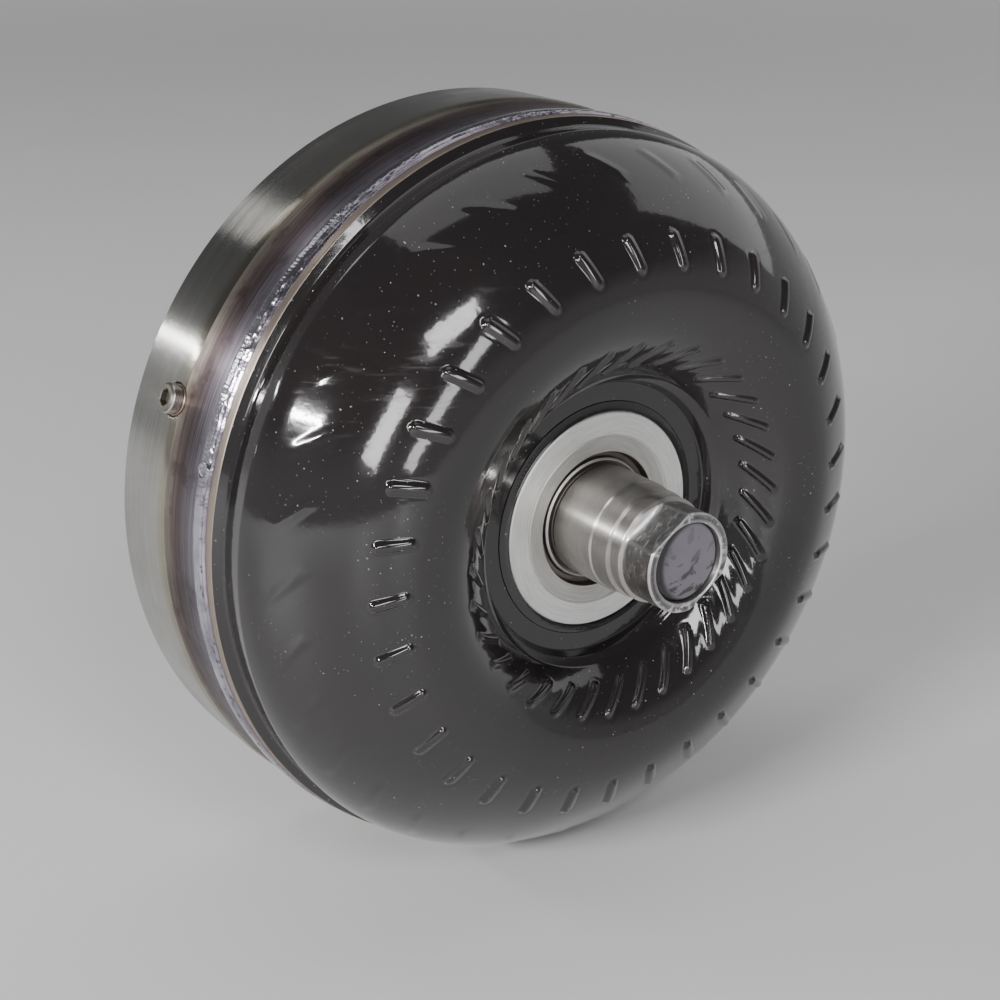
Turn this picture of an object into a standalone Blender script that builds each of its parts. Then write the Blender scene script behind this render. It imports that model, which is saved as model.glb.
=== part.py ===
"""Torque converter with a lock-up clutch, its full set of working parts on one axis.

The rotation axis is horizontal, along world Y: the crank pilot faces +Y (engine) and the
pump hub faces -Y (transmission). World zero is the centre of the pilot's end face.
Every turned profile is written as (radius, station), both in millimetres, where the
station is the distance from the pilot's end face towards the hub.
"""
import math

import bmesh
import bpy
from mathutils import Matrix, Vector
from mathutils.geometry import interpolate_bezier

MM = 0.001
GAP = 0.3                       # air left between neighbouring pieces, mm

RIM_SIDES = 40                  # facets round the largest turned pieces

# Front cover (engine side drum)
BAND_RADIUS = 157.0             # machined band round the drum
SEAM_RADIUS = 155.5             # drum beside the closing weld
COVER_BORE = 149.0
COVER_FACE = 16.0               # outer face of the end plate
COVER_PLATE = 8.0
BAND_END = 54.0
BAND_SLOPE = 7.0
COVER_END = 75.0
DISH_RADIUS = 70.0
DISH_DEPTH = 4.0
PILOT_RADIUS = 22.0
PILOT_SPIGOT = 16.0

# Flexplate pads
PAD_COUNT = 4
PAD_CIRCLE = 133.35
PAD_RADIUS = 14.0
PAD_FACE = 6.0
PAD_HOLE = 5.0
PAD_HOLE_DEPTH = 7.5

# Drain plug in the rim
DRAIN_ANGLE = 157.8
DRAIN_STATION = 45.6
DRAIN_SPOT_FACE = 6.7
DRAIN_SPOT_DEPTH = 1.7
DRAIN_WASHER = 6.2
DRAIN_HEAD = 5.9
DRAIN_HEAD_TOP = 4.4
DRAIN_SOCKET = 3.4
DRAIN_SOCKET_DEPTH = 2.6
DRAIN_THREAD = 3.7
DRAIN_THREAD_LENGTH = 7.4
DRAIN_HOLE_DEPTH = 12.0

# Balance weight on the end plate
BALANCE_ANGLE = 100.0
BALANCE_HALF_ARC = 8.0
BALANCE_INSIDE = 104.0
BALANCE_OUTSIDE = 117.0
BALANCE_THICKNESS = 2.7
BALANCE_STEPS = 4

# Impeller shell
SHELL_WALL = 4.0
SKIRT_RADIUS = 152.0
SKIRT_STATION = 100.0
CREST_RADIUS = 96.0
CREST_STATION = 147.5
RING_RADIUS = 155.2
RING_END = 86.0
LIP_RADIUS = 58.6
LIP_STATION = 124.6
HUB_SEAT = 120.5

# Pump hub
FLANGE_RADIUS = 45.0
FLANGE_FACE = 122.2
FLANGE_BACK = 108.5
JOURNAL_RADIUS = 22.9
STEP_RADIUS = 22.2
DRIVE_RADIUS = 20.2
HUB_END = 175.8
HUB_BORE = 14.6
FLAT_HALF_WIDTH = 17.3
FLAT_ANGLE = 124.0
FLAT_START = 161.0

# Blading
IMPELLER_BLADES = 33
TURBINE_BLADES = 31
BLADE_THICKNESS = 1.0
BLADE_PHASE = 80.5
CORE_RADIUS = 106.0
CORE_HALF_WIDTH = 18.0
CORE_DEPTH = 17.0
CORE_WALL = 1.2
IMPELLER_PLANE = 94.0
TURBINE_PLANE = 91.0
BLADE_CLEARANCE = 1.1
SHELL_CLEARANCE = 2.2
BLADE_STEPS = 4
BLADE_TAB = -0.9                # a blade's tab enters the core ring's wall at mid length

# Turbine
TURBINE_RADIUS = 143.2
TURBINE_CREST = 50.5
TURBINE_WALL = 2.5
TURBINE_FLANGE = 69.5
TURBINE_SPLINE_TEETH = 18
TURBINE_SPLINE_ROOT = 11.2
TURBINE_SPLINE_TIP = 10.0

# Lock-up clutch and damper
PISTON_BORE = 30.3
PISTON_RIM = 145.0
SPRING_CIRCLE = 126.0
SPRING_STATION = 42.5
SPRING_COIL = 5.8
SPRING_WIRE = 1.2
SPRING_COUNT = 6
SPRING_HALF_ARC = 24.0
SPRING_TURNS = 5
PIN_CIRCLE = 90.0
PIN_COUNT = 4
RIVET_CIRCLE = 41.0
RIVET_COUNT = 6
RIVET_HOLE = 2.9

# Stator and one-way clutch
STATOR_VANES = 17
STATOR_HUB_BORE = 44.3
STATOR_HUB_RADIUS = 57.8
STATOR_RING_BORE = 84.0
STATOR_RING_RADIUS = 87.0
STATOR_FRONT = 79.5
STATOR_BACK = 105.5
RACE_RADIUS = 28.0
ROLLER_RADIUS = 4.0
ROLLER_COUNT = 8
RACE_SPLINE_TEETH = 18
RACE_SPLINE_ROOT = 14.2
RACE_SPLINE_TIP = 12.8

# Thrust bearings
NEEDLE_RADIUS = 1.0
NEEDLE_COUNT = 10


def clear_scene():
    for item in list(bpy.data.objects):
        bpy.data.objects.remove(item, do_unlink=True)


def collection(name):
    made = bpy.data.collections.new(name)
    bpy.context.scene.collection.children.link(made)
    return made


def axis_empty(group):
    """Empty on the rotation axis: its local Z points from the pilot to the hub."""
    empty = bpy.data.objects.new("converter_axis", None)
    empty.rotation_euler = (math.pi / 2, 0.0, 0.0)
    group.objects.link(empty)
    return empty


def paint(name, colour, roughness, metallic):
    made = bpy.data.materials.new(name)
    made.use_nodes = True
    shader = made.node_tree.nodes["Principled BSDF"]
    shader.inputs["Base Color"].default_value = (*colour, 1.0)
    shader.inputs["Roughness"].default_value = roughness
    shader.inputs["Metallic"].default_value = metallic
    made.diffuse_color = (*colour, 1.0)
    return made


clear_scene()
PARTS = collection("torque_converter")
CUTTERS = collection("cutters")
AXIS = axis_empty(PARTS)


def place(name, mesh, finish, parent=AXIS):
    made = bpy.data.objects.new(name, mesh)
    mesh.name = name
    mesh.materials.clear()
    mesh.materials.append(paint(name, *finish))
    made.parent = parent
    PARTS.objects.link(made)
    return made


def smooth(mesh, angle=32.0):
    mesh.shade_smooth()
    mesh.set_sharp_from_angle(angle=math.radians(angle))
    return mesh


def settled(source):
    """Mesh of a working object with its modifiers applied; the object is then removed."""
    bpy.context.view_layer.update()
    graph = bpy.context.evaluated_depsgraph_get()
    mesh = bpy.data.meshes.new_from_object(source.evaluated_get(graph))
    shape = bmesh.new()
    shape.from_mesh(mesh)
    bmesh.ops.remove_doubles(shape, verts=shape.verts, dist=1e-6)
    shape.to_mesh(mesh)
    shape.free()
    bpy.data.objects.remove(source, do_unlink=True)
    return mesh


def turned_mesh(profile, segments):
    """Turn a profile about local Z. It runs down its outer side; one that starts and
    ends on the axis is left open there and the turning closes it."""
    on_axis = profile[0][0] == 0.0 and profile[-1][0] == 0.0
    points = [(radius * MM, 0.0, station * MM) for radius, station in profile]
    edges = [(i, i + 1) for i in range(len(points) - 1)]
    if not on_axis:
        edges.append((len(points) - 1, 0))
    mesh = bpy.data.meshes.new("profile")
    mesh.from_pydata(points, edges, [])
    source = bpy.data.objects.new("profile", mesh)
    bpy.context.scene.collection.objects.link(source)
    turn = source.modifiers.new("turn", "SCREW")
    turn.axis = "Z"
    turn.angle = 2 * math.pi
    turn.steps = segments
    turn.render_steps = segments
    turn.use_merge_vertices = True
    turn.merge_threshold = 0.00001
    return smooth(settled(source))


def turned(name, profile, finish, segments=48, parent=AXIS):
    return place(name, turned_mesh(profile, segments), finish, parent)


def plate_mesh(outlines, low, high):
    """Flat plate between two stations; the first outline is its edge, the rest are holes."""
    curve = bpy.data.curves.new("outline", "CURVE")
    curve.dimensions = "2D"
    curve.fill_mode = "BOTH"
    curve.extrude = (high - low) / 2 * MM
    for outline in outlines:
        line = curve.splines.new("POLY")
        line.points.add(len(outline) - 1)
        line.use_cyclic_u = True
        for point, (x, y) in zip(line.points, outline):
            point.co = (x * MM, y * MM, 0.0, 1.0)
    source = bpy.data.objects.new("outline", curve)
    bpy.context.scene.collection.objects.link(source)
    mesh = settled(source)
    mesh.transform(Matrix.Translation((0.0, 0.0, (low + high) / 2 * MM)))
    return mesh


def wire_mesh(points, radius, closed=False):
    curve = bpy.data.curves.new("wire", "CURVE")
    curve.dimensions = "3D"
    curve.bevel_depth = radius * MM
    curve.bevel_resolution = 0
    curve.use_fill_caps = not closed
    line = curve.splines.new("POLY")
    line.points.add(len(points) - 1)
    line.use_cyclic_u = closed
    for point, position in zip(line.points, points):
        point.co = (*(value * MM for value in position), 1.0)
    source = bpy.data.objects.new("wire", curve)
    bpy.context.scene.collection.objects.link(source)
    return smooth(settled(source), 50.0)


def gathered(mesh, placements):
    """One mesh holding a separate solid at each placement."""
    shape = bmesh.new()
    for placement in placements:
        copy = mesh.copy()
        copy.transform(placement)
        shape.from_mesh(copy)
        bpy.data.meshes.remove(copy)
    result = bpy.data.meshes.new("group")
    shape.to_mesh(result)
    shape.free()
    return result


def spin(degrees):
    return Matrix.Rotation(math.radians(degrees), 4, "Z")


def shift(x, y, z):
    return Matrix.Translation((x * MM, y * MM, z * MM))


def turns(count, phase=0.0):
    return [phase + 360.0 * i / count for i in range(count)]


def out_at(radius, degrees, station=0.0):
    """Placement whose local Z lies parallel to the axis at a radius and an angle."""
    return spin(degrees) @ shift(radius, 0.0, station)


def radial_at(radius, degrees, station):
    """Placement whose local Z points straight out from the axis."""
    return out_at(radius, degrees, station) @ Matrix.Rotation(math.pi / 2, 4, "Y")


def copies(name, mesh, finish, placements):
    """One object for each placement, numbered from 1, all sharing a mesh."""
    first = place(f"{name}_1", mesh, finish)
    first.matrix_local = placements[0]
    for i, placement in enumerate(placements[1:], start=2):
        made = bpy.data.objects.new(f"{name}_{i}", mesh)
        made.parent = AXIS
        made.matrix_local = placement
        PARTS.objects.link(made)


def cutter(name, mesh):
    made = bpy.data.objects.new(name, mesh)
    made.parent = AXIS
    made.display_type = "WIRE"
    made.hide_render = True
    CUTTERS.objects.link(made)
    return made


def combine(target, other, operation="DIFFERENCE"):
    step = target.modifiers.new(other.name, "BOOLEAN")
    step.operation = operation
    step.solver = "EXACT"
    step.object = other


def cylinder_mesh(radius, low, high, segments=24):
    return turned_mesh([(0.0, high), (radius, high), (radius, low), (0.0, low)], segments)


def box_mesh(x_size, y_size, z_size):
    shape = bmesh.new()
    bmesh.ops.create_cube(shape, size=1.0)
    bmesh.ops.scale(shape, vec=(x_size * MM, y_size * MM, z_size * MM), verts=shape.verts)
    mesh = bpy.data.meshes.new("box")
    shape.to_mesh(mesh)
    shape.free()
    return mesh


def circle(radius, count):
    step = 2 * math.pi / count
    return [(radius * math.cos(i * step), radius * math.sin(i * step)) for i in range(count)]


def polar(radius, degrees):
    angle = math.radians(degrees)
    return radius * math.cos(angle), radius * math.sin(angle)


def flat_ring(inner, outer, low, high):
    """Profile of a plain ring between two stations."""
    return [(outer, high), (outer, low), (inner, low), (inner, high)]


def bezier(start, handle, other_handle, end, count):
    corners = [Vector((*point, 0.0)) for point in (start, handle, other_handle, end)]
    return [(point.x, point.y) for point in interpolate_bezier(*corners, count)]


def offset_line(line, distance):
    """Line moved sideways; a positive distance moves it to the right of its travel."""
    moved = []
    for i, (radius, station) in enumerate(line):
        before = line[max(i - 1, 0)]
        after = line[min(i + 1, len(line) - 1)]
        along = Vector((after[0] - before[0], after[1] - before[1])).normalized()
        moved.append((radius + along.y * distance, station - along.x * distance))
    return moved


def sampled(line, amount):
    """Point at a share of a line's run of points, counted evenly by index."""
    place_on = amount * (len(line) - 1)
    low = min(int(place_on), len(line) - 2)
    part = place_on - low
    (r0, s0), (r1, s1) = line[low], line[low + 1]
    return r0 + (r1 - r0) * part, s0 + (s1 - s0) * part


STEEL = ((0.46, 0.45, 0.44), 0.32, 1.0)
DARK_STEEL = ((0.24, 0.24, 0.25), 0.4, 1.0)
GROUND_STEEL = ((0.58, 0.57, 0.55), 0.22, 1.0)
WELD = ((0.35, 0.33, 0.34), 0.4, 1.0)
BLACK_PAINT = ((0.012, 0.012, 0.013), 0.18, 0.0)
ALUMINIUM = ((0.68, 0.69, 0.7), 0.42, 1.0)
BRASS = ((0.75, 0.58, 0.3), 0.35, 1.0)
RUBBER = ((0.02, 0.02, 0.02), 0.7, 0.0)
PHENOLIC = ((0.2, 0.1, 0.05), 0.55, 0.0)
PAPER = ((0.26, 0.2, 0.13), 0.85, 0.0)
SPRING_STEEL = ((0.2, 0.21, 0.24), 0.3, 1.0)
CAP_PLASTIC = ((0.09, 0.08, 0.1), 0.5, 0.0)


def front_cover():
    inner_face = COVER_FACE + COVER_PLATE
    dish_face = COVER_FACE + DISH_DEPTH
    profile = [
        (SEAM_RADIUS, COVER_END),
        (SEAM_RADIUS, BAND_END),
        (BAND_RADIUS, BAND_END - BAND_SLOPE),
        (BAND_RADIUS, COVER_FACE + 1.3),
        (BAND_RADIUS - 1.3, COVER_FACE),
        (DISH_RADIUS, COVER_FACE),
        (DISH_RADIUS - 6.0, dish_face),
        (PILOT_SPIGOT + GAP, dish_face),
        (PILOT_SPIGOT + GAP, dish_face + 7.0),
        (DISH_RADIUS - 4.0, dish_face + 7.0),
        (DISH_RADIUS + 2.0, inner_face),
        (COVER_BORE - 3.0, inner_face),
        (COVER_BORE, inner_face + 3.5),
        (COVER_BORE, COVER_END),
    ]
    cover = turned("front_cover", profile, STEEL, RIM_SIDES)
    hole = [
        (0.0, 6.0),
        (DRAIN_SPOT_FACE, 6.0),
        (DRAIN_SPOT_FACE, -DRAIN_SPOT_DEPTH),
        (DRAIN_THREAD + GAP, -DRAIN_SPOT_DEPTH),
        (DRAIN_THREAD + GAP, -DRAIN_HOLE_DEPTH),
        (0.0, -DRAIN_HOLE_DEPTH),
    ]
    mesh = turned_mesh(hole, 16)
    mesh.transform(radial_at(BAND_RADIUS, DRAIN_ANGLE, DRAIN_STATION))
    combine(cover, cutter("cut_drain_hole", mesh))


def crank_pilot():
    spigot_end = COVER_FACE + DISH_DEPTH + 6.5
    shoulder = COVER_FACE + DISH_DEPTH - GAP
    profile = [
        (0.0, spigot_end),
        (PILOT_SPIGOT, spigot_end),
        (PILOT_SPIGOT, shoulder),
        (PILOT_RADIUS, shoulder),
        (PILOT_RADIUS, 2.0),
        (PILOT_RADIUS - 2.0, 0.0),
        (0.0, 0.0),
    ]
    turned("crank_pilot", profile, GROUND_STEEL, 28)
    fillet = [
        (PILOT_RADIUS + 4.2, shoulder),
        (PILOT_RADIUS + GAP, shoulder - 4.0),
        (PILOT_RADIUS + GAP, shoulder),
    ]
    turned("pilot_weld", fillet, WELD, 28)


def drive_pads():
    """Four tapped pads, each with the fillet of its weld round its foot."""
    back = COVER_FACE - GAP
    floor = PAD_FACE + PAD_HOLE_DEPTH
    profile = [
        (0.0, back),
        (PAD_RADIUS + 3.4, back),
        (PAD_RADIUS, back - 3.4),
        (PAD_RADIUS, PAD_FACE + 1.0),
        (PAD_RADIUS - 1.0, PAD_FACE),
        (PAD_HOLE, PAD_FACE),
        (PAD_HOLE, floor),
        (0.0, floor + 0.6),
    ]
    copies("drive_pad", turned_mesh(profile, 18), GROUND_STEEL,
           [out_at(PAD_CIRCLE, 45.0 + angle) for angle in turns(PAD_COUNT)])


def balance_weight():
    """Curved slip of plate on the end face, just inside the pads."""
    sweep = [-BALANCE_HALF_ARC + 2 * BALANCE_HALF_ARC * i / BALANCE_STEPS
             for i in range(BALANCE_STEPS + 1)]
    edge = [polar(BALANCE_OUTSIDE, angle) for angle in sweep]
    edge += [polar(BALANCE_INSIDE, angle) for angle in reversed(sweep)]
    back = COVER_FACE - GAP
    mesh = plate_mesh([edge], back - BALANCE_THICKNESS, back)
    mesh.transform(spin(BALANCE_ANGLE))
    place("balance_weight", mesh, STEEL)


def drain_plug():
    """Socket head plug standing on its copper washer in a spot face of the rim."""
    washer_foot = -DRAIN_SPOT_DEPTH + GAP
    washer_top = washer_foot + 0.9
    under_head = washer_top + GAP
    washer = flat_ring(DRAIN_THREAD + GAP, DRAIN_WASHER, washer_foot, washer_top)
    spot = radial_at(BAND_RADIUS, DRAIN_ANGLE, DRAIN_STATION)
    made = turned("drain_plug_washer", washer, BRASS, 16)
    made.matrix_local = spot
    body = [
        (0.0, DRAIN_HEAD_TOP),
        (DRAIN_HEAD - 0.7, DRAIN_HEAD_TOP),
        (DRAIN_HEAD, DRAIN_HEAD_TOP - 0.7),
        (DRAIN_HEAD, under_head),
        (DRAIN_THREAD, under_head),
        (DRAIN_THREAD, -DRAIN_THREAD_LENGTH),
        (0.0, -DRAIN_THREAD_LENGTH),
    ]
    plug = turned("drain_plug", body, GROUND_STEEL, 16)
    plug.matrix_local = spot
    socket = plate_mesh([circle(DRAIN_SOCKET, 6)],
                        DRAIN_HEAD_TOP - DRAIN_SOCKET_DEPTH, DRAIN_HEAD_TOP + 1.0)
    socket.transform(spot)
    combine(plug, cutter("cut_plug_socket", socket))


def closure_weld():
    """Bead over the seam between the cover and the shell's edge ring."""
    toe = SEAM_RADIUS + GAP
    profile = [
        (toe, 81.6),
        (156.6, 79.0),
        (BAND_RADIUS - 0.1, 75.3),
        (156.6, 71.8),
        (toe, 69.2),
    ]
    turned("closure_weld", profile, WELD, RIM_SIDES)


def shell_outside():
    """Outer face of the impeller shell, from the hub seat over the crest to the skirt."""
    start = (61.0, 126.2)
    inner = bezier(start, (69.0, 137.5), (81.0, CREST_STATION),
                   (CREST_RADIUS, CREST_STATION), 5)
    outer = bezier((CREST_RADIUS, CREST_STATION), (120.0, CREST_STATION),
                   (150.0, 116.0), (SKIRT_RADIUS, SKIRT_STATION), 7)
    return inner + outer[1:]


def impeller_shell():
    outside = shell_outside()
    inside = offset_line(outside, SHELL_WALL)
    profile = [(FLANGE_RADIUS + GAP, HUB_SEAT), (LIP_RADIUS - 1.8, HUB_SEAT),
               (LIP_RADIUS, LIP_STATION)]
    profile += outside
    profile += [
        (150.8, 88.4),
        (RING_RADIUS, RING_END),
        (RING_RADIUS, COVER_END + GAP),
        (COVER_BORE - GAP, COVER_END + GAP),
        (COVER_BORE - GAP, 67.0),
        (145.2, 67.0),
        (145.2, 86.0),
    ]
    profile += list(reversed(inside))[::2]
    profile += [(LIP_RADIUS - 1.0, 116.0), (FLANGE_RADIUS + GAP, 116.0)]
    turned("impeller_shell", profile, BLACK_PAINT, RIM_SIDES)


def core_line(plane, direction, growths, first, last):
    """Part of the oval core section, measured from the split plane."""
    line = []
    count = len(growths) - 1
    for i, growth in enumerate(growths):
        angle = math.radians(first + (last - first) * i / count)
        radius = CORE_RADIUS + (CORE_HALF_WIDTH + growth) * math.cos(angle)
        line.append((radius, plane + direction * (CORE_DEPTH + growth) * math.sin(angle)))
    return line


def core_mesh(plane, direction):
    outside = core_line(plane, direction, [0.0] * 6, 0.0, 180.0)
    inside = core_line(plane, direction, [-CORE_WALL] * 4, 180.0, 0.0)
    profile = outside + inside
    if direction > 0:
        profile = profile[::-1]
    return turned_mesh(profile, 33)


def blade_edge():
    """Distance of a blade's inner edge from the core ring, which its middle tab enters."""
    edge = [BLADE_CLEARANCE] * (BLADE_STEPS + 1)
    edge[BLADE_STEPS // 2] = BLADE_TAB
    return edge


def blade_turn(radius):
    """Angle in degrees by which a blade leans from its middle station."""
    if radius > 114.0:
        return 10.8 * ((radius - 114.0) / 33.0) ** 1.6
    if radius < 88.0:
        return 11.0 * ((88.0 - radius) / 22.0) ** 2 - 1.6
    return -1.6 * (114.0 - radius) / 26.0


def blade_mesh(shell_line, core, lean):
    """Thin curved blade spanning from the shell to the core ring."""
    along, across = BLADE_STEPS, 1
    points = []
    for i in range(along + 1):
        share = i / along
        r0, s0 = sampled(shell_line, share)
        r1, s1 = core[i]
        for j in range(across + 1):
            part = j / across
            radius = r0 + (r1 - r0) * part
            station = s0 + (s1 - s0) * part
            x, y = polar(radius, lean * blade_turn(radius))
            points.append((x * MM, y * MM, station * MM))
    row = across + 1
    faces = [(i * row + j, i * row + j + 1, (i + 1) * row + j + 1, (i + 1) * row + j)
             for i in range(along) for j in range(across)]
    mesh = bpy.data.meshes.new("blade")
    mesh.from_pydata(points, [], faces)
    source = bpy.data.objects.new("blade", mesh)
    bpy.context.scene.collection.objects.link(source)
    thicken = source.modifiers.new("sheet", "SOLIDIFY")
    thicken.thickness = BLADE_THICKNESS * MM
    thicken.offset = 0.0
    result = settled(source)
    outward = bmesh.new()
    outward.from_mesh(result)
    bmesh.ops.recalc_face_normals(outward, faces=outward.faces)
    outward.to_mesh(result)
    outward.free()
    return smooth(result, 40.0)


def impeller_blades():
    """Thirty-three blades rolled and brazed into their core ring."""
    line = offset_line(shell_outside(), SHELL_WALL + SHELL_CLEARANCE)
    line = [point for point in line if point[0] > 62.0][::-1]
    line = [(SKIRT_RADIUS - SHELL_WALL - SHELL_CLEARANCE, IMPELLER_PLANE)] + line
    core = core_line(IMPELLER_PLANE, 1.0, blade_edge(), 6.0, 136.0)
    blades = gathered(blade_mesh(line, core, 1.0),
                      [spin(angle) for angle in turns(IMPELLER_BLADES, BLADE_PHASE)])
    ring = place("impeller_blades", core_mesh(IMPELLER_PLANE, 1.0), STEEL)
    combine(ring, cutter("add_impeller_blades", blades), "UNION")


def turbine_inside():
    """Flow side of the turbine shell, from its rim over the crest to the flange."""
    outer = bezier((TURBINE_RADIUS, TURBINE_PLANE + 0.2), (TURBINE_RADIUS, 66.0),
                   (121.0, TURBINE_CREST), (CREST_RADIUS, TURBINE_CREST), 6)
    inner = bezier((CREST_RADIUS, TURBINE_CREST), (78.0, TURBINE_CREST),
                   (67.5, 58.0), (60.5, 68.0), 4)
    return outer + inner[1:]


def turbine_shell():
    flow_side = turbine_inside()
    engine_side = offset_line(flow_side, -TURBINE_WALL)
    profile = list(reversed(flow_side))
    profile = [(24.0, TURBINE_FLANGE), (57.0, TURBINE_FLANGE)] + profile
    profile += engine_side[::2]
    profile += [(56.0, TURBINE_FLANGE - TURBINE_WALL), (24.0, TURBINE_FLANGE - TURBINE_WALL)]
    shell = turned("turbine_shell", profile, STEEL, 32)
    holes = gathered(cylinder_mesh(RIVET_HOLE, 64.0, 72.0, 8),
                     [out_at(RIVET_CIRCLE, angle) for angle in turns(RIVET_COUNT)])
    combine(shell, cutter("cut_shell_rivets", holes))


def turbine_blades():
    """Thirty-one blades brazed into the turbine's core ring."""
    line = offset_line(turbine_inside(), SHELL_CLEARANCE)
    line = [point for point in line if point[0] > 61.0]
    core = core_line(TURBINE_PLANE, -1.0, blade_edge(), 6.0, 136.0)
    blades = gathered(blade_mesh(line, core, -1.0),
                      [spin(angle) for angle in turns(TURBINE_BLADES, 3.0)])
    ring = place("turbine_blades", core_mesh(TURBINE_PLANE, -1.0), STEEL)
    combine(ring, cutter("add_turbine_blades", blades), "UNION")


def spline_outline(teeth, tip, root):
    """Outline of the tool that leaves internal teeth in a bore."""
    outline = []
    pitch = 360.0 / teeth
    for i in range(teeth):
        for share, radius in ((0.0, tip), (0.3, tip), (0.42, root), (0.88, root)):
            outline.append(polar(radius, pitch * (i + share)))
    return outline


def turbine_hub():
    bore = TURBINE_SPLINE_TIP - 0.4
    profile = [
        (bore, 77.0),
        (22.5, 77.0),
        (22.5, 66.7),
        (50.0, 66.7),
        (50.0, 61.5),
        (PISTON_BORE - 0.4, 56.0),
        (PISTON_BORE - 0.4, 41.4),
        (27.2, 41.4),
        (27.2, 38.2),
        (PISTON_BORE - 0.4, 38.2),
        (PISTON_BORE - 0.4, 31.8),
        (bore, 31.8),
    ]
    hub = turned("turbine_hub", profile, GROUND_STEEL, 24)
    spline = plate_mesh([spline_outline(TURBINE_SPLINE_TEETH, TURBINE_SPLINE_TIP,
                                        TURBINE_SPLINE_ROOT)], 30.0, 79.0)
    combine(hub, cutter("cut_turbine_spline", spline))
    holes = gathered(cylinder_mesh(RIVET_HOLE, 55.0, 72.0, 8),
                     [out_at(RIVET_CIRCLE, angle) for angle in turns(RIVET_COUNT)])
    combine(hub, cutter("cut_hub_rivets", holes))
    rivet = [
        (0.0, 72.4),
        (3.6, 71.8),
        (4.8, TURBINE_FLANGE + GAP),
        (2.5, TURBINE_FLANGE + GAP),
        (2.5, 59.0),
        (0.0, 58.4),
    ]
    copies("turbine_rivet", turned_mesh(rivet, 10), STEEL,
           [out_at(RIVET_CIRCLE, angle) for angle in turns(RIVET_COUNT)])


def ring_points(radius, station, count):
    return [(x, y, station) for x, y in circle(radius, count)]


def piston_seal():
    place("piston_seal_ring", wire_mesh(ring_points(28.75, 39.8, 28), 1.15, True), RUBBER)


def lockup_piston():
    """Clutch piston: a dished disc riding on the turbine hub, lined at its rim."""
    profile = [
        (PISTON_BORE, 44.0),
        (33.8, 44.0),
        (34.0, 34.0),
        (102.0, 34.0),
        (110.0, 31.2),
        (141.5, 31.2),
        (141.5, 38.0),
        (PISTON_RIM, 38.0),
        (PISTON_RIM, 28.6),
        (PISTON_RIM - 2.0, 26.6),
        (107.0, 26.6),
        (99.0, 29.6),
        (PISTON_BORE, 29.6),
    ]
    piston = turned("lockup_piston", profile, STEEL, 32)
    holes = gathered(cylinder_mesh(2.5, 26.0, 37.0, 8),
                     [out_at(PIN_CIRCLE, angle) for angle in turns(PIN_COUNT)])
    combine(piston, cutter("cut_piston_pins", holes))
    turned("friction_lining", flat_ring(116.0, 140.0, 25.0, 26.3), PAPER, 32)
    pin = [
        (0.0, 41.0),
        (4.0, 41.0),
        (4.0, 34.3),
        (2.2, 34.3),
        (2.2, 29.3),
        (4.2, 29.3),
        (3.4, 27.8),
        (0.0, 27.8),
    ]
    copies("piston_drive_pin", turned_mesh(pin, 10), STEEL,
           [out_at(PIN_CIRCLE, angle) for angle in turns(PIN_COUNT)])


def damper_plate():
    """Spring retainer: a stamped ring with a trough for the springs."""
    profile = [
        (137.0, 49.0),
        (137.0, 32.8),
        (117.5, 32.8),
        (113.0, 36.0),
        (34.2, 36.0),
        (34.2, 38.0),
        (113.6, 38.0),
        (118.2, 34.8),
        (135.0, 34.8),
        (135.0, 49.0),
    ]
    plate = turned("damper_plate", profile, DARK_STEEL, 32)
    holes = gathered(cylinder_mesh(4.5, 34.0, 40.0, 10),
                     [out_at(PIN_CIRCLE, angle) for angle in turns(PIN_COUNT)])
    combine(plate, cutter("cut_plate_pins", holes))
    stops = gathered(box_mesh(13.0, 13.4, 8.0),
                     [out_at(SPRING_CIRCLE, angle, 37.9) for angle in turns(SPRING_COUNT)])
    combine(plate, cutter("add_spring_stops", stops), "UNION")


def damper_springs():
    """Arc springs, each a helix bent round the spring circle."""
    per_turn = 6
    count = SPRING_TURNS * per_turn
    points = []
    for i in range(count + 1):
        turn = 2 * math.pi * i / per_turn
        angle = -SPRING_HALF_ARC + 2 * SPRING_HALF_ARC * i / count
        radius = SPRING_CIRCLE + SPRING_COIL * math.cos(turn)
        points.append((*polar(radius, angle), SPRING_STATION + SPRING_COIL * math.sin(turn)))
    copies("damper_spring", wire_mesh(points, SPRING_WIRE), SPRING_STEEL,
           [spin(angle) for angle in turns(SPRING_COUNT, 30.0)])


def driven_ring():
    """Ring on the turbine shell with fingers that reach between the springs."""
    edge = []
    for middle in turns(SPRING_COUNT):
        for angle, radius in ((-3.0, 114.0), (-2.7, 132.5), (2.7, 132.5), (3.0, 114.0),
                              (16.5, 114.0), (30.0, 114.0), (43.5, 114.0)):
            edge.append(polar(radius, middle + angle))
    mesh = plate_mesh([edge, circle(98.0, 36)], 44.6, 47.2)
    place("damper_driven_ring", mesh, DARK_STEEL)


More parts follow.
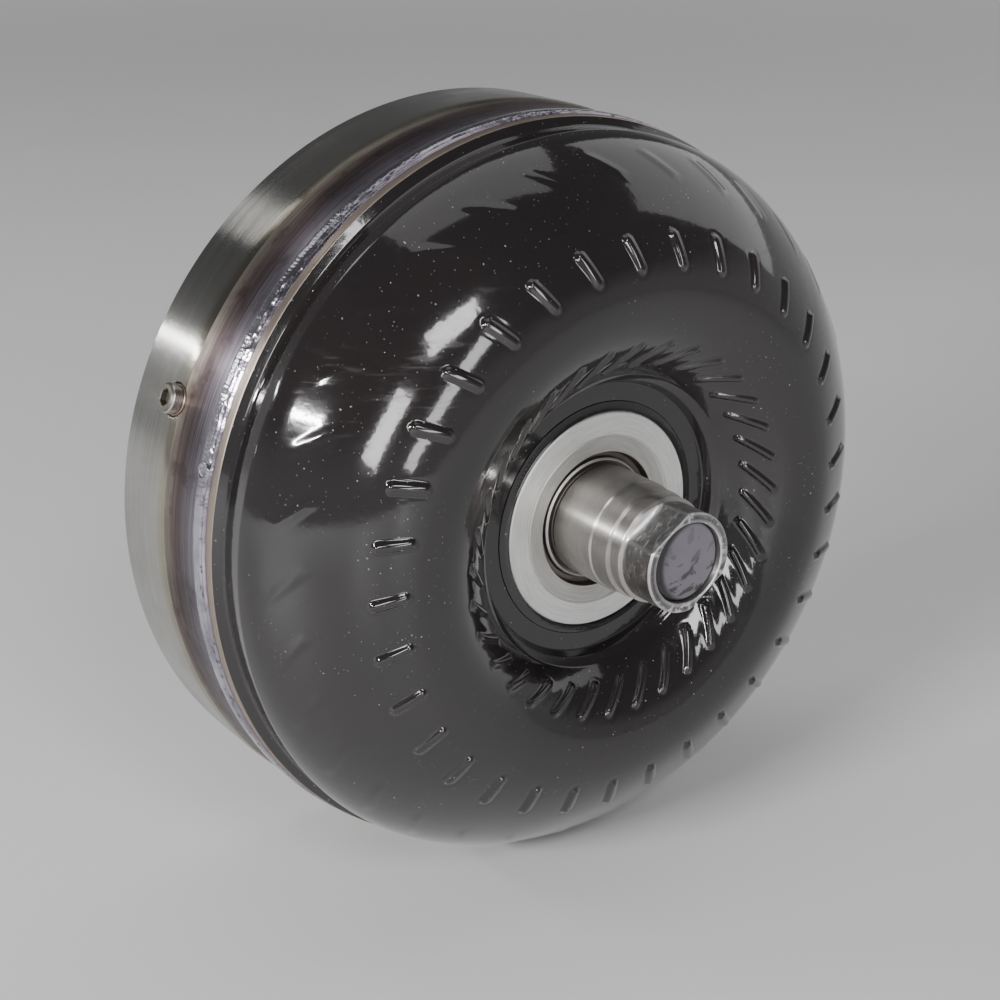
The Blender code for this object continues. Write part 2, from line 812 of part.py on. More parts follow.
def pump_hub():
    """Impeller hub: welding flange, seal journal and the double-D pump drive."""
    profile = [
        (16.9, HUB_END),
        (DRIVE_RADIUS - 0.8, HUB_END),
        (DRIVE_RADIUS, HUB_END - 0.8),
        (DRIVE_RADIUS, 160.2),
        (21.6, 159.6),
        (21.6, 156.4),
        (20.8, 156.0),
        (20.8, 153.4),
        (STEP_RADIUS, 153.0),
        (STEP_RADIUS, 144.0),
        (JOURNAL_RADIUS, 143.2),
        (JOURNAL_RADIUS, 120.2),
        (21.9, 119.2),
        (21.9, 117.4),
        (28.3, 117.4),
        (28.3, 121.7),
        (34.8, 121.7),
        (35.3, FLANGE_FACE),
        (FLANGE_RADIUS, FLANGE_FACE),
        (FLANGE_RADIUS, FLANGE_BACK),
        (HUB_BORE, FLANGE_BACK),
        (HUB_BORE, 170.3),
        (16.3, 170.3),
        (16.3, HUB_END - 0.6),
    ]
    hub = turned("pump_hub", profile, GROUND_STEEL, 36)
    length = HUB_END + 2.0 - FLAT_START
    flat = box_mesh(10.0, 44.0, length)
    middle = FLAT_START + length / 2
    sides = [out_at(FLAT_HALF_WIDTH + 5.0, FLAT_ANGLE + turn, middle) for turn in (0.0, 180.0)]
    combine(hub, cutter("cut_hub_flats", gathered(flat, sides)))


def hub_weld():
    profile = [
        (FLANGE_RADIUS + 3.8, HUB_SEAT + GAP),
        (FLANGE_RADIUS + GAP, HUB_SEAT + GAP),
        (FLANGE_RADIUS + GAP, FLANGE_FACE - 0.7),
        (FLANGE_RADIUS + 2.2, FLANGE_FACE - 0.8),
    ]
    turned("hub_weld", profile, BLACK_PAINT, 30)


def hub_plug():
    """Cap pressed into the end of the hub bore."""
    profile = [
        (0.0, 173.7),
        (15.9, 173.7),
        (15.9, 170.6),
        (HUB_BORE - GAP, 170.6),
        (HUB_BORE - GAP, 162.0),
        (12.4, 162.0),
        (12.4, 171.6),
        (0.0, 172.2),
    ]
    turned("hub_plug", profile, CAP_PLASTIC, 24)


def stator_wheel():
    """Cast stator: hub, seventeen curved vanes and an outer ring in one piece."""
    hub = flat_ring(STATOR_HUB_BORE, STATOR_HUB_RADIUS, STATOR_FRONT + 1.5, STATOR_BACK - 1.5)
    wheel = turned("stator_wheel", hub, ALUMINIUM, 34)
    ring = flat_ring(STATOR_RING_BORE, STATOR_RING_RADIUS, STATOR_FRONT, STATOR_BACK)
    span = STATOR_RING_BORE + 1.5 - (STATOR_HUB_RADIUS - 2.4)
    middle = STATOR_HUB_RADIUS - 2.4 + span / 2
    vane = plate_mesh([vane_outline()], -span / 2, span / 2)
    stand = Matrix.Rotation(math.pi / 2, 4, "Y")
    level = (STATOR_FRONT + STATOR_BACK) / 2
    spots = [out_at(middle, 360.0 * i / STATOR_VANES, level) @ stand
             for i in range(STATOR_VANES)]
    combine(wheel, cutter("add_stator_vanes", gathered(vane, spots)), "UNION")
    combine(wheel, cutter("add_stator_ring", turned_mesh(ring, 34)), "UNION")


def vane_outline():
    """Closed outline of one vane: a rounded nose tapering along a bent middle line."""
    length, bend, nose = 22.0, 6.5, 2.9
    steps = 3
    upper = []
    lower = []
    for i in range(steps + 1):
        share = i / steps
        x = length / 2 - length * share
        y = bend * (share ** 1.7) * 1.6 - bend * 0.6
        half = nose * math.sqrt(min(1.0, share * 3.0 + 0.08)) * (1.05 - 0.85 * share)
        upper.append((x, y + half))
        lower.append((x, y - half))
    return upper + lower[::-1]


def cam_outline():
    """Bore of the outer race: a ramp for every roller."""
    outline = []
    pitch = 360.0 / ROLLER_COUNT
    for i in range(ROLLER_COUNT):
        for share, radius in ((-0.38, 34.2), (-0.22, 36.2), (0.0, 37.0), (0.22, 36.2),
                              (0.32, 34.2)):
            outline.append(polar(radius, pitch * (i + share)))
    return outline


def one_way_clutch():
    low, high = 84.0, 101.0
    race = [
        (RACE_SPLINE_TIP - 0.4, 103.7),
        (27.0, 103.7),
        (27.0, high + 0.3),
        (RACE_RADIUS, high),
        (RACE_RADIUS, low),
        (27.0, low - 0.3),
        (27.0, 81.0),
        (RACE_SPLINE_TIP - 0.4, 81.0),
    ]
    inner = turned("clutch_inner_race", race, GROUND_STEEL, 28)
    spline = plate_mesh([spline_outline(RACE_SPLINE_TEETH, RACE_SPLINE_TIP,
                                        RACE_SPLINE_ROOT)], 79.0, 106.0)
    combine(inner, cutter("cut_race_spline", spline))
    outer = plate_mesh([circle(STATOR_HUB_BORE - GAP - 0.2, 32), cam_outline()], low, high)
    place("clutch_outer_race", outer, DARK_STEEL)
    roller = cylinder_mesh(ROLLER_RADIUS, low + 0.5, high - 0.5, 12)
    pitch = RACE_RADIUS + ROLLER_RADIUS + 0.3
    copies("clutch_roller", roller, GROUND_STEEL,
           [out_at(pitch, angle) for angle in turns(ROLLER_COUNT)])


def clutch_caps():
    """Side plates that keep the rollers in, and the washer in front of the inner race."""
    turned("clutch_front_plate", flat_ring(28.4, 43.6, 81.6, 83.7), ALUMINIUM, 28)
    turned("clutch_rear_plate", flat_ring(28.4, 43.6, 101.3, 103.1), ALUMINIUM, 28)
    turned("stator_thrust_washer", flat_ring(16.0, 26.5, 77.4, 80.7), PHENOLIC, 24)


def thrust_bearing(side, inner, outer, low):
    """Two races with a crown of radial needles between them, stacked from one station.
    The needles are held by their cage, so both make one piece."""
    race = 0.8
    middle = low + race + GAP + NEEDLE_RADIUS
    second = middle + NEEDLE_RADIUS + GAP
    turned(f"{side}_bearing_race_a", flat_ring(inner, outer, low, low + race),
           GROUND_STEEL, 24)
    turned(f"{side}_bearing_race_b", flat_ring(inner, outer, second, second + race),
           GROUND_STEEL, 24)
    cage = turned(f"{side}_bearing_needle_cage",
                  flat_ring(inner + 0.6, outer - 0.6, middle - 0.55, middle + 0.55),
                  BRASS, 24)
    length = outer - inner - 5.6
    centre = (outer + inner) / 2
    lay = Matrix.Rotation(math.pi / 2, 4, "Y")
    needle = cylinder_mesh(NEEDLE_RADIUS, -length / 2, length / 2, 6)
    needles = gathered(needle, [out_at(centre, angle, middle) @ lay
                                for angle in turns(NEEDLE_COUNT)])
    combine(cage, cutter(f"add_{side}_needles", needles), "UNION")


front_cover()
crank_pilot()
drive_pads()
balance_weight()
drain_plug()
closure_weld()
impeller_shell()
impeller_blades()
pump_hub()
hub_weld()
hub_plug()
turbine_shell()
turbine_blades()
turbine_hub()
piston_seal()
lockup_piston()
damper_plate()
damper_springs()
driven_ring()
stator_wheel()
one_way_clutch()
clutch_caps()
thrust_bearing("front", 13.5, 26.5, 27.3)
thrust_bearing("rear", 16.0, 29.0, 104.0)
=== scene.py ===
"""Torque converter: fine surfaces, finishes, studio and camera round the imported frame.

Turned shapes are written as (radius, station) in millimetres. The station is the distance
from the pilot's end face towards the pump hub, so world Y is minus the station.
"""
import math

import bpy
import numpy as np
from mathutils import Matrix, Vector


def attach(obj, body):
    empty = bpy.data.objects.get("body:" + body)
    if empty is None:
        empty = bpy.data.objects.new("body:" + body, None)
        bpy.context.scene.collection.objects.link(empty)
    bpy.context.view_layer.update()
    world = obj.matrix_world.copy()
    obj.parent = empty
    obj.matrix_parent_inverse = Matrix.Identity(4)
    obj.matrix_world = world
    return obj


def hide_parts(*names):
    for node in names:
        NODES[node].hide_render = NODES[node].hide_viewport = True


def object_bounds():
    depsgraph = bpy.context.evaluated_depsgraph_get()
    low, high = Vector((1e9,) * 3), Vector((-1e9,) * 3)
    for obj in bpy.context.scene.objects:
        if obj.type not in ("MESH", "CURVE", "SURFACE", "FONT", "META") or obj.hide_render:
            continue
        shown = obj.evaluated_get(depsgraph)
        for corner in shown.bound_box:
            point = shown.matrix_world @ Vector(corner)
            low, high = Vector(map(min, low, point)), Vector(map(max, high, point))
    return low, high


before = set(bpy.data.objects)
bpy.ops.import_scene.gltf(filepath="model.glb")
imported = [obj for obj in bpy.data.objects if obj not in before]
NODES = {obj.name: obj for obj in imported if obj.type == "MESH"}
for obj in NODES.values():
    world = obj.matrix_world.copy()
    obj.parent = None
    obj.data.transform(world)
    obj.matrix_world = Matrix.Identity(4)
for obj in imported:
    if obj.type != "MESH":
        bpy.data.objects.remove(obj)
CAD_BOX = [list(corner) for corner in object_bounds()]

MM = 0.001
TURN = 2 * math.pi
HOUSING = "housing"
FLOOR_HEIGHT = CAD_BOX[0][2]


# ---- turned outlines

def bezier(start, handle, other, end, count):
    """Points along a cubic curve from start to end with its two handles."""
    t = np.linspace(0, 1, count)[:, None]
    a, b, c, d = (np.array(p, float) for p in (start, handle, other, end))
    return (1 - t) ** 3 * a + 3 * (1 - t) ** 2 * t * b + 3 * (1 - t) * t ** 2 * c + t ** 3 * d


def rounded(corners, steps=5):
    """Outline through (r, s, fillet) corners, each turned into an arc of that radius."""
    points = []
    for i, (r, s, fillet) in enumerate(corners):
        here = np.array([r, s], float)
        before = np.array(corners[i - 1][:2], float) - here
        after = np.array(corners[(i + 1) % len(corners)][:2], float) - here
        la, lb = np.linalg.norm(before), np.linalg.norm(after)
        ua, ub = before / la, after / lb
        half = math.acos(max(-1.0, min(1.0, float(ua @ ub)))) / 2
        if fillet <= 0 or half > math.pi / 2 - 0.02:
            points.append(here)
            continue
        reach = min(fillet / math.tan(half), 0.45 * la, 0.45 * lb)
        size = reach * math.tan(half)
        centre = here + (ua + ub) / np.linalg.norm(ua + ub) * size / math.sin(half)
        start, end = here + ua * reach - centre, here + ub * reach - centre
        sweep = (math.pi - 2 * half) * np.sign(start[0] * end[1] - start[1] * end[0])
        for k in range(steps + 1):
            c, q = math.cos(sweep * k / steps), math.sin(sweep * k / steps)
            points.append(centre + (c * start[0] - q * start[1], q * start[0] + c * start[1]))
    return np.array(points)


def run_length(line):
    """Length along a line up to each of its points."""
    return np.concatenate([[0], np.cumsum(np.linalg.norm(np.diff(line, axis=0), axis=1))])


def refined(outline, step, closed=True):
    """The outline with its straight stretches cut into pieces of at most step mm."""
    ends = np.roll(outline, -1, 0) if closed else outline[1:]
    points = []
    for a, b in zip(outline, ends):
        pieces = max(1, int(math.ceil(np.linalg.norm(b - a) / step)))
        points += [a + (b - a) * k / pieces for k in range(pieces)]
    return np.array(points if closed else points + [outline[-1]])


def polar(radius, angle):
    """A radius turned by an angle: world X and Z for a point round the axis."""
    return radius * math.cos(angle), radius * math.sin(angle)


def to_world(radius, station, angle):
    """Millimetres round the axis to metres in the frame."""
    return np.stack([radius * np.cos(angle), -station + 0 * angle,
                     radius * np.sin(angle)], -1) * MM


# ---- meshes

def make(name, points, faces, normals=None, marks=None, finish=(), parts=None, body=HOUSING):
    """Object from arrays; normals and marks (float attributes) are given per vertex."""
    mesh = bpy.data.meshes.new(name)
    mesh.from_pydata(points.tolist(), [], [[int(v) for v in face] for face in faces])
    mesh.polygons.foreach_set("use_smooth", [True] * len(mesh.polygons))
    for key, values in (marks or {}).items():
        layer = mesh.attributes.new(key, "FLOAT", "POINT")
        layer.data.foreach_set("value", np.asarray(values, np.float32).ravel())
    for material in finish:
        mesh.materials.append(material)
    if parts is not None:
        mesh.polygons.foreach_set("material_index", np.asarray(parts, np.int32))
    mesh.update()
    if normals is not None:
        mesh.normals_split_custom_set_from_vertices(normals.tolist())
    made = bpy.data.objects.new(name, mesh)
    bpy.context.scene.collection.objects.link(made)
    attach(made, body)
    return made


def grid_faces(i, j, rows, columns):
    """The four corners of cells i, j of a grid of points that is closed both ways."""
    k, m = (i + 1) % rows, (j + 1) % columns
    corners = [i * columns + j, i * columns + m, k * columns + m, k * columns + j]
    return np.stack(corners, -1).reshape(-1, 4)


def volume(points, faces):
    """Six times the volume inside the faces, below 0 where they face inwards."""
    total = 0.0
    for face in (faces[:, :3], faces[:, [0, 2, 3]]):
        a, b, c = (points[face[:, n]] for n in range(3))
        total += np.einsum("ij,ij->i", a, np.cross(b, c)).sum()
    return total


def turned(name, outline, columns=256, finish=(), shape=None, marks=None, part=None,
           angles=None, axis=None, body=HOUSING):
    """Solid from an outline carried round the axis, with normals from neighbouring points.

    An outline whose first point has r = 0 is open and ends on the axis again, any other is
    closed. shape(r, s, angle) may change the points, marks(r, s, angle) gives attributes,
    part(r, s) the material number of each stretch, axis(points) moves the finished points.
    """
    angle = np.linspace(0, TURN, columns, endpoint=False) if angles is None else angles
    columns, rows = len(angle), len(outline)
    capped = outline[0, 0] == 0
    r, s = (np.repeat(outline[:, k:k + 1], columns, 1) for k in (0, 1))
    a = np.repeat(angle[None, :], rows, 0)
    attributes = marks(r, s, a) if marks else {}
    if shape:
        r, s, a = shape(r, s, a)
    grid = to_world(r, s, a)
    if axis:
        grid = axis(grid)
    along = np.roll(grid, -1, 0) - np.roll(grid, 1, 0)
    across = np.roll(grid, -1, 1) - np.roll(grid, 1, 1)
    if capped:
        along[0], along[-1] = grid[1] - grid[0], grid[-1] - grid[-2]
        across[0], across[-1] = across[1], across[-2]
    normals = np.cross(across, along)
    normals /= np.maximum(np.linalg.norm(normals, axis=-1, keepdims=True), 1e-12)
    i = np.arange(rows - 1 if capped else rows)[:, None]
    faces = grid_faces(i, np.arange(columns)[None, :], rows, columns)
    points = grid.reshape(-1, 3)
    numbers = None
    if part:
        middle = (outline[i[:, 0]] + outline[(i[:, 0] + 1) % rows]) / 2
        numbers = np.repeat([part(*p) for p in middle], columns)
    if volume(points, faces) < 0:
        faces = faces[:, ::-1]
    corner = points[faces]
    outward = np.cross(corner[:, 2] - corner[:, 0], corner[:, 3] - corner[:, 1])
    normals = normals.reshape(-1, 3)
    if np.einsum("ij,ij->", outward, normals[faces[:, 0]]) < 0:
        normals = -normals
    if capped:
        for cap in (slice(0, columns), slice(-columns, None)):
            mean = normals[cap].mean(0)
            normals[cap] = mean / np.linalg.norm(mean)
        keep = np.arange(len(points))
        keep[:columns], keep[-columns:] = 0, len(points) - columns
        used, place = np.unique(keep, return_inverse=True)
        faces = [list(dict.fromkeys(face)) for face in place[faces].tolist()]
        points, normals = points[used], normals[used]
        attributes = {key: np.ravel(value)[used] for key, value in attributes.items()}
    return make(name, points, faces, normals, attributes, finish, numbers, body)


# ---- material nodes

def set_stops(ramp, stops):
    """Gives a colour ramp node its (position, colour) stops."""
    points = ramp.color_ramp.elements
    while len(points) < len(stops):
        points.new(0.5)
    for point, (place, colour) in zip(points, stops):
        point.position = place
        point.color = (*colour, 1.0)


class Graph:
    """Short ways to build one material's nodes; a value is a number, colour or socket."""

    def __init__(self, name):
        self.material = bpy.data.materials.new(name)
        self.material.use_nodes = True
        self.tree = self.material.node_tree
        self.shader = self.tree.nodes["Principled BSDF"]
        self.object = self.node("TexCoord").outputs["Object"]
        split = self.node("SeparateXYZ", {0: self.object})
        self.x, self.y, self.z = split.outputs

    def node(self, kind, inputs=None, **settings):
        made = self.tree.nodes.new("ShaderNode" + kind)
        for key, value in settings.items():
            setattr(made, key, value)
        for key, value in (inputs or {}).items():
            if isinstance(value, bpy.types.NodeSocket):
                self.tree.links.new(value, made.inputs[key])
            else:
                made.inputs[key].default_value = value
        return made

    def out(self, kind, inputs=None, **settings):
        """First output of a new node."""
        return self.node(kind, inputs, **settings).outputs[0]

    def put(self, socket, value):
        """Links a socket or sets it; three numbers are a colour."""
        if isinstance(value, bpy.types.NodeSocket):
            self.tree.links.new(value, socket)
        else:
            socket.default_value = (*value, 1.0) if isinstance(value, tuple) else value

    def calc(self, operation, *values):
        return self.out("Math", dict(enumerate(values)), operation=operation)

    def times(self, a, b):
        return self.calc("MULTIPLY", a, b)

    def plus(self, a, b):
        return self.calc("ADD", a, b)

    def step(self, value, low, high, flip=False):
        """0 below low, 1 above high, smooth between; the other way round if flip."""
        ends = {3: 1.0, 4: 0.0} if flip else {3: 0.0, 4: 1.0}
        return self.out("MapRange", {0: value, 1: low, 2: high, **ends},
                        interpolation_type="SMOOTHSTEP")

    def fit(self, value, to_low, to_high, low=0.3, high=0.7):
        """Straight map onto a range, by default from where nearly all noise lies."""
        return self.out("MapRange", {0: value, 1: low, 2: high, 3: to_low, 4: to_high})

    def ramp(self, value, *stops):
        made = self.node("ValToRGB", {0: value})
        set_stops(made, stops)
        return made.outputs[0]

    def mix(self, share, a, b, blend="MIX"):
        made = self.node("Mix", data_type="RGBA", blend_type=blend)
        for number, value in ((0, share), (6, a), (7, b)):
            self.put(made.inputs[number], value)
        return made.outputs[2]

    def scaled(self, *factors):
        """Object coordinates, each axis times its factor (cells per metre)."""
        return self.out("VectorMath", {0: self.object, 1: factors}, operation="MULTIPLY")

    def polar(self):
        """Radius in metres, and the cosine and sine of the angle round the axis."""
        square = self.plus(self.times(self.x, self.x), self.times(self.z, self.z))
        radius = self.calc("SQRT", square)
        return radius, self.calc("DIVIDE", self.x, radius), self.calc("DIVIDE", self.z, radius)

    def turned_noise(self, fine, along, detail=2.0):
        """Noise drawn out into marks round the axis: fine is cells per metre across them."""
        radius, cosine, sine = self.polar()
        vector = self.out("CombineXYZ", {0: self.times(radius, fine), 1: self.times(self.y, fine),
                                         2: self.times(cosine, along)})
        return self.out("TexNoise", {
            "Vector": vector, "W": self.times(sine, along), "Scale": 1.0, "Detail": detail,
            "Roughness": 0.6}, noise_dimensions="4D")

    def noise(self, scale, detail=3.0, roughness=0.55, vector=None, distortion=0.0):
        return self.out("TexNoise", {
            "Vector": vector or self.object, "Scale": scale, "Detail": detail,
            "Roughness": roughness, "Distortion": distortion})

    def specks(self, scale, size, share):
        """1 in scattered round specks, 0 elsewhere; share is how many cells hold one."""
        made = self.node("TexVoronoi", {"Vector": self.object, "Scale": scale})
        chance = self.out("SeparateXYZ", {0: made.outputs["Color"]})
        picked = self.calc("LESS_THAN", chance, share)
        return self.times(self.step(made.outputs["Distance"], size * 0.6, size, flip=True), picked)

    def tinted(self, colour, tint):
        return self.mix(1.0, colour, tint, "MULTIPLY")

    def mark(self, name):
        return self.node("Attribute", attribute_name=name).outputs["Fac"]

    def bump(self, height, distance, strength=1.0, below=None):
        inputs = {"Height": height, "Distance": distance, "Strength": strength}
        if below is not None:
            inputs["Normal"] = below
        return self.out("Bump", inputs)

    def finish(self, **sockets):
        names = {"colour": "Base Color", "rough": "Roughness", "metal": "Metallic",
                 "normal": "Normal", "coat": "Coat Weight", "coat_rough": "Coat Roughness",
                 "turned": "Anisotropic", "tangent": "Tangent", "lay": "Anisotropic Rotation",
                 "specular": "Specular IOR Level", "coat_normal": "Coat Normal",
                 "glow": "Emission Color", "glow_strength": "Emission Strength"}
        for key, value in sockets.items():
            self.put(self.shader.inputs[names[key]], value)
        return self.material

    def radius_mm(self):
        return self.times(self.polar()[0], 1000.0)

    def round_axis(self):
        return self.out("Tangent", direction_type="RADIAL", axis="Y")


def shade(colour, *factors):
    """A colour times one factor, or times one for each channel, at most 1."""
    factors = factors * 3 if len(factors) == 1 else factors
    return tuple(min(1.0, c * f) for c, f in zip(colour, factors))


def gloss_black(name, specular=0.5):
    """Sprayed black enamel: slight orange peel, dust, faint rub marks."""
    g = Graph(name)
    cloud = g.noise(9.0, 3.0)
    colour = g.mix(cloud, (0.0075, 0.0075, 0.0085), (0.020, 0.0155, 0.0150))
    dust = g.calc("MAXIMUM", g.specks(300.0, 0.12, 0.26), g.specks(800.0, 0.17, 0.16))
    dust = g.times(dust, g.step(g.noise(26.0, 2.0), 0.38, 0.62))
    colour = g.mix(g.times(dust, 0.75), colour, (0.32, 0.31, 0.30))
    rub = g.noise(1.0, 4.0, vector=g.scaled(60.0, 60.0, 420.0), distortion=0.6)
    film = g.times(g.step(rub, 0.52, 0.74), g.step(cloud, 0.35, 0.7))
    rough = g.plus(g.fit(film, 0.10, 0.26, 0.0, 1.0), g.times(dust, 0.3))
    peel = g.bump(g.noise(420.0, 2.0, 0.4), 0.00006, 0.35)
    grain = g.bump(dust, 0.00012, 0.8, peel)
    return g.finish(colour=colour, rough=rough, normal=grain, coat=0.6, coat_rough=0.035,
                    coat_normal=peel, specular=specular)


def turned_steel(name, base, tint=None, rough=0.28, fine=2600.0, marks=0.00003, stain=0.35,
                 lay=0.75, rust=0.0):
    """Machined steel with marks round the axis, stains and small scratches."""
    g = Graph(name)
    lines = g.turned_noise(fine, 3.0, 3.0)
    broad = g.turned_noise(fine / 7, 1.6, 2.0)
    cloud = g.noise(22.0, 5.0, 0.6)
    colour = g.mix(g.fit(lines, 0.0, 1.0), base, shade(base, 0.78))
    colour = g.mix(g.times(g.step(cloud, 0.42, 0.72), stain), colour, shade(base, 0.55))
    colour = g.mix(g.times(g.step(broad, 0.5, 0.7), 0.25), colour, shade(base, 1.2))
    if rust:
        spots = g.times(g.step(g.noise(160.0, 4.0, 0.7), 0.62, 0.72),
                        g.step(g.noise(18.0, 2.0), 0.5, 0.62))
        colour = g.mix(g.times(spots, rust), colour, (0.16, 0.085, 0.045))
    if tint:
        colour = tint(g, colour)
    rough_map = g.plus(g.fit(cloud, rough * 0.8, rough * 1.45, 0.3, 0.75),
                       g.fit(lines, -0.16 * rough, 0.2 * rough))
    height = g.plus(g.times(lines, 0.6), g.times(broad, 0.8))
    return g.finish(colour=colour, metal=1.0, rough=rough_map, turned=lay,
                    tangent=g.round_axis(), lay=0.25, normal=g.bump(height, marks))


# ---- impeller shell

SECTORS = 33
PITCH = 360 / SECTORS
PAINTED_FROM = 86.2             # stations below this are burnt bare beside the weld
# rings of pressed bumps: (inner radius, outer radius, angle inside, angle outside,
#                          half width, height, edge), angles in degrees, sizes in mm
INNER_RIDGES = (66.5, 78.0, 98.9, 87.4, 2.05, 1.15, 1.7)
OUTER_BUMPS = (106.3, 120.6, 79.6, 81.5, 2.35, 1.25, 1.25)
EDGE_STREAKS = (137.5, 147.0, 119.1, 125.1, 3.3, 0.30, 3.2)
RINGS = (INNER_RIDGES, OUTER_BUMPS, EDGE_STREAKS)
ROW_STEPS = (0.80, 0.80, 3.0)   # spacing of the grid's rows in each ring
PLAIN_STEP = 3.2                # and elsewhere
DITCH = (0.9, 0.8, 0.06)        # drawn-in metal round a bump: distance, width, share of height


def shell_outline():
    """Outside of the shell from the hub seat to the weld land, then the inside back."""
    lip = rounded([(45.3, 116.0, 0), (45.3, 120.5, 0.3), (56.6, 120.5, 0.8),
                   (58.3, 124.6, 1.1), (61.0, 126.3, 0), (70.0, 140.0, 0)], 4)[:-2]
    dish = bezier((61.0, 126.2), (69.0, 137.5), (81.0, 147.5), (96.0, 147.5), 400)
    crown = bezier((96.0, 147.5), (120.0, 147.5), (150.0, 116.0), (152.0, 100.0), 600)
    land = rounded([(120.0, 140.0, 0), (152.0, 99.5, 0), (150.9, 88.6, 2.2), (155.2, 86.0, 0.7),
                    (155.2, 75.3, 0.25), (148.7, 75.3, 0.25), (148.7, 67.0, 0.3),
                    (145.2, 67.0, 0.3), (145.2, 86.0, 4.0), (148.0, 100.0, 0),
                    (120.0, 130.0, 0)], 4)[2:-2]
    inside = bezier((148.0, 100.0), (146.2, 114.0), (118.5, 143.5), (96.0, 143.5), 14)
    inner_dish = bezier((96.0, 143.5), (83.0, 143.5), (72.0, 134.0), (64.0, 123.0), 8)[1:]
    back = np.array([[57.8, 116.6], [56.0, 116.0]])
    return lip, dish, crown[1:], land, np.concatenate([inside, inner_dish, back])


def spaced(line, windows, coarse):
    """Points along a dense line, with each window's own step where the radius lies in it."""
    length = run_length(line)
    chosen, at = [0.0], 0.0
    while at < length[-1]:
        radius = np.interp(at, length, line[:, 0])
        at += min(coarse, *(fine + 0.35 * max(low - radius, radius - high, 0.0)
                            for low, high, fine in windows))
        chosen.append(min(at, length[-1]))
    return np.stack([np.interp(chosen, length, line[:, k]) for k in (0, 1)], -1)


def impeller_shell(finish):
    """Shell with its rings of bumps; the grid's columns lean so that they follow the rings."""
    lip, dish, crown, land, inside = shell_outline()
    windows = [(ring[0] - 3, ring[1] + 3, fine) for ring, fine in zip(RINGS, ROW_STEPS)]
    curve = spaced(np.concatenate([dish, crown]), windows, PLAIN_STEP)
    outline = np.concatenate([lip, curve, land, inside])
    length = run_length(outline)
    direction = np.roll(outline, -1, 0) - np.roll(outline, 1, 0)
    direction /= np.linalg.norm(direction, axis=1, keepdims=True)
    normal = np.stack([-direction[:, 1], direction[:, 0]], -1)
    first, last = len(lip), len(lip) + len(curve)
    spots = [np.interp(ring[:2], curve[:, 0], length[first:last]) for ring in RINGS]
    knots = [0.0]
    lean = [INNER_RIDGES[2]]
    for (low, high), ring in zip(spots, RINGS):
        shift = round((lean[-1] - ring[2]) / PITCH) * PITCH
        knots += [low, high]
        lean += [ring[2] + shift, ring[3] + shift]
    base = np.interp(length, knots, lean)
    base[last:] = lean[-1]
    spread = np.concatenate([np.linspace(0, 0.27, 4)[:-1], np.linspace(0.27, 0.73, 13)[:-1],
                             np.linspace(0.73, 1.0, 4)[:-1]]) - 0.5
    columns = np.concatenate([(k + spread) * PITCH for k in range(SECTORS)])

    def shape(r, s, a):
        """Lifts every point by the bump it lies on, a bar with round ends and a soft edge."""
        angle = np.degrees(a) + base[:, None]
        lift = np.zeros_like(r)
        for (low, high), (_, _, start, end, half, height, edge) in zip(spots, RINGS):
            middle, mean = (low + high) / 2, (start + end) / 2
            radius = np.interp(middle, length, outline[:, 0])
            across = np.radians((angle - mean + PITCH / 2) % PITCH - PITCH / 2) * radius
            pitch = np.radians(PITCH) * radius
            run = np.array([np.radians(end - start) * radius, high - low])
            size = np.linalg.norm(run)
            along = run / size
            reach = size / 2 - half
            best = np.full_like(r, 1e9)
            for x in (across, across + pitch, across - pitch):
                y = (length - middle)[:, None] + 0 * x
                t = np.clip(x * along[0] + y * along[1], -reach, reach)
                best = np.minimum(best, np.hypot(x - t * along[0], y - t * along[1]))
            share = np.clip((half - best) / edge, 0, 1)
            share = share * share * (3 - 2 * share)
            dip = np.exp(-((best - half - DITCH[0]) / DITCH[1]) ** 2) * DITCH[2]
            lift[first:last] += (height * share - height * dip)[first:last]
        return r + normal[:, :1] * lift, s + normal[:, 1:] * lift, np.radians(angle)

    made = turned("impeller_shell_outside", outline, finish=finish, shape=shape,
                  angles=np.radians(columns),
                  part=lambda r, s: 1 if s < PAINTED_FROM and r > 148 else 0)
    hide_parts("impeller_shell")


# ---- cover and rim

BAND = 157.0                    # radius of the machined band
SEAM = 155.5                    # radius beside the closing weld
DRAIN_STATION = 45.6
DRAIN_ANGLE = math.radians(157.8)
SPOT_FACE = (6.7, 155.3)        # radius of the recess, radius of its floor from the axis
PLUG_HOLE = (4.1, 149.5)
RIM_CELL = 0.32                 # size of the rim's grid cells round the plug
RIM_COLUMNS = 420               # columns of the grid round the rest of the drum
SNAP = 0.17                     # points this near to a round edge are moved onto it
FRONT_PAINT_END = 21
HEAT_START = 50.4               # station where the dull heat scale begins


def on_drum(radius, station, angle):
    """Moves points built round Y so that they stand on the drum and their station points out."""
    x, z = polar(radius, angle)
    out = Vector((*polar(1, angle), 0)).xzy.normalized()
    first = np.array(Vector((0, 1, 0)).cross(out).normalized())
    second = np.array(out.cross(Vector(first)))
    out = np.array(out)

    def move(points):
        return (np.array([x, -station, z]) * MM + points[..., :1] * first
                - points[..., 1:2] * out + points[..., 2:] * second)
    return move


def drain_seat(r, s, a):
    """Spot face and plug hole, pressed into the fine grid of the rim."""
    across = (a - DRAIN_ANGLE) * BAND
    along = s - DRAIN_STATION
    distance = np.hypot(across, along)
    outside = (r > 155.2) & (np.abs(a - DRAIN_ANGLE) < 0.2)
    for radius, depth in (SPOT_FACE, PLUG_HOLE):
        near = outside & (np.abs(distance - radius) < SNAP)
        pull = np.where(near, radius / np.maximum(distance, 1e-6), 1.0)
        across, along = across * pull, along * pull
        flat = depth / np.cos(across / BAND)
        r = np.where(outside & (distance < radius - 0.02), flat, r)
    s = np.where(outside, along + DRAIN_STATION, s)
    a = np.where(outside, across / BAND + DRAIN_ANGLE, a)
    return r, s, a


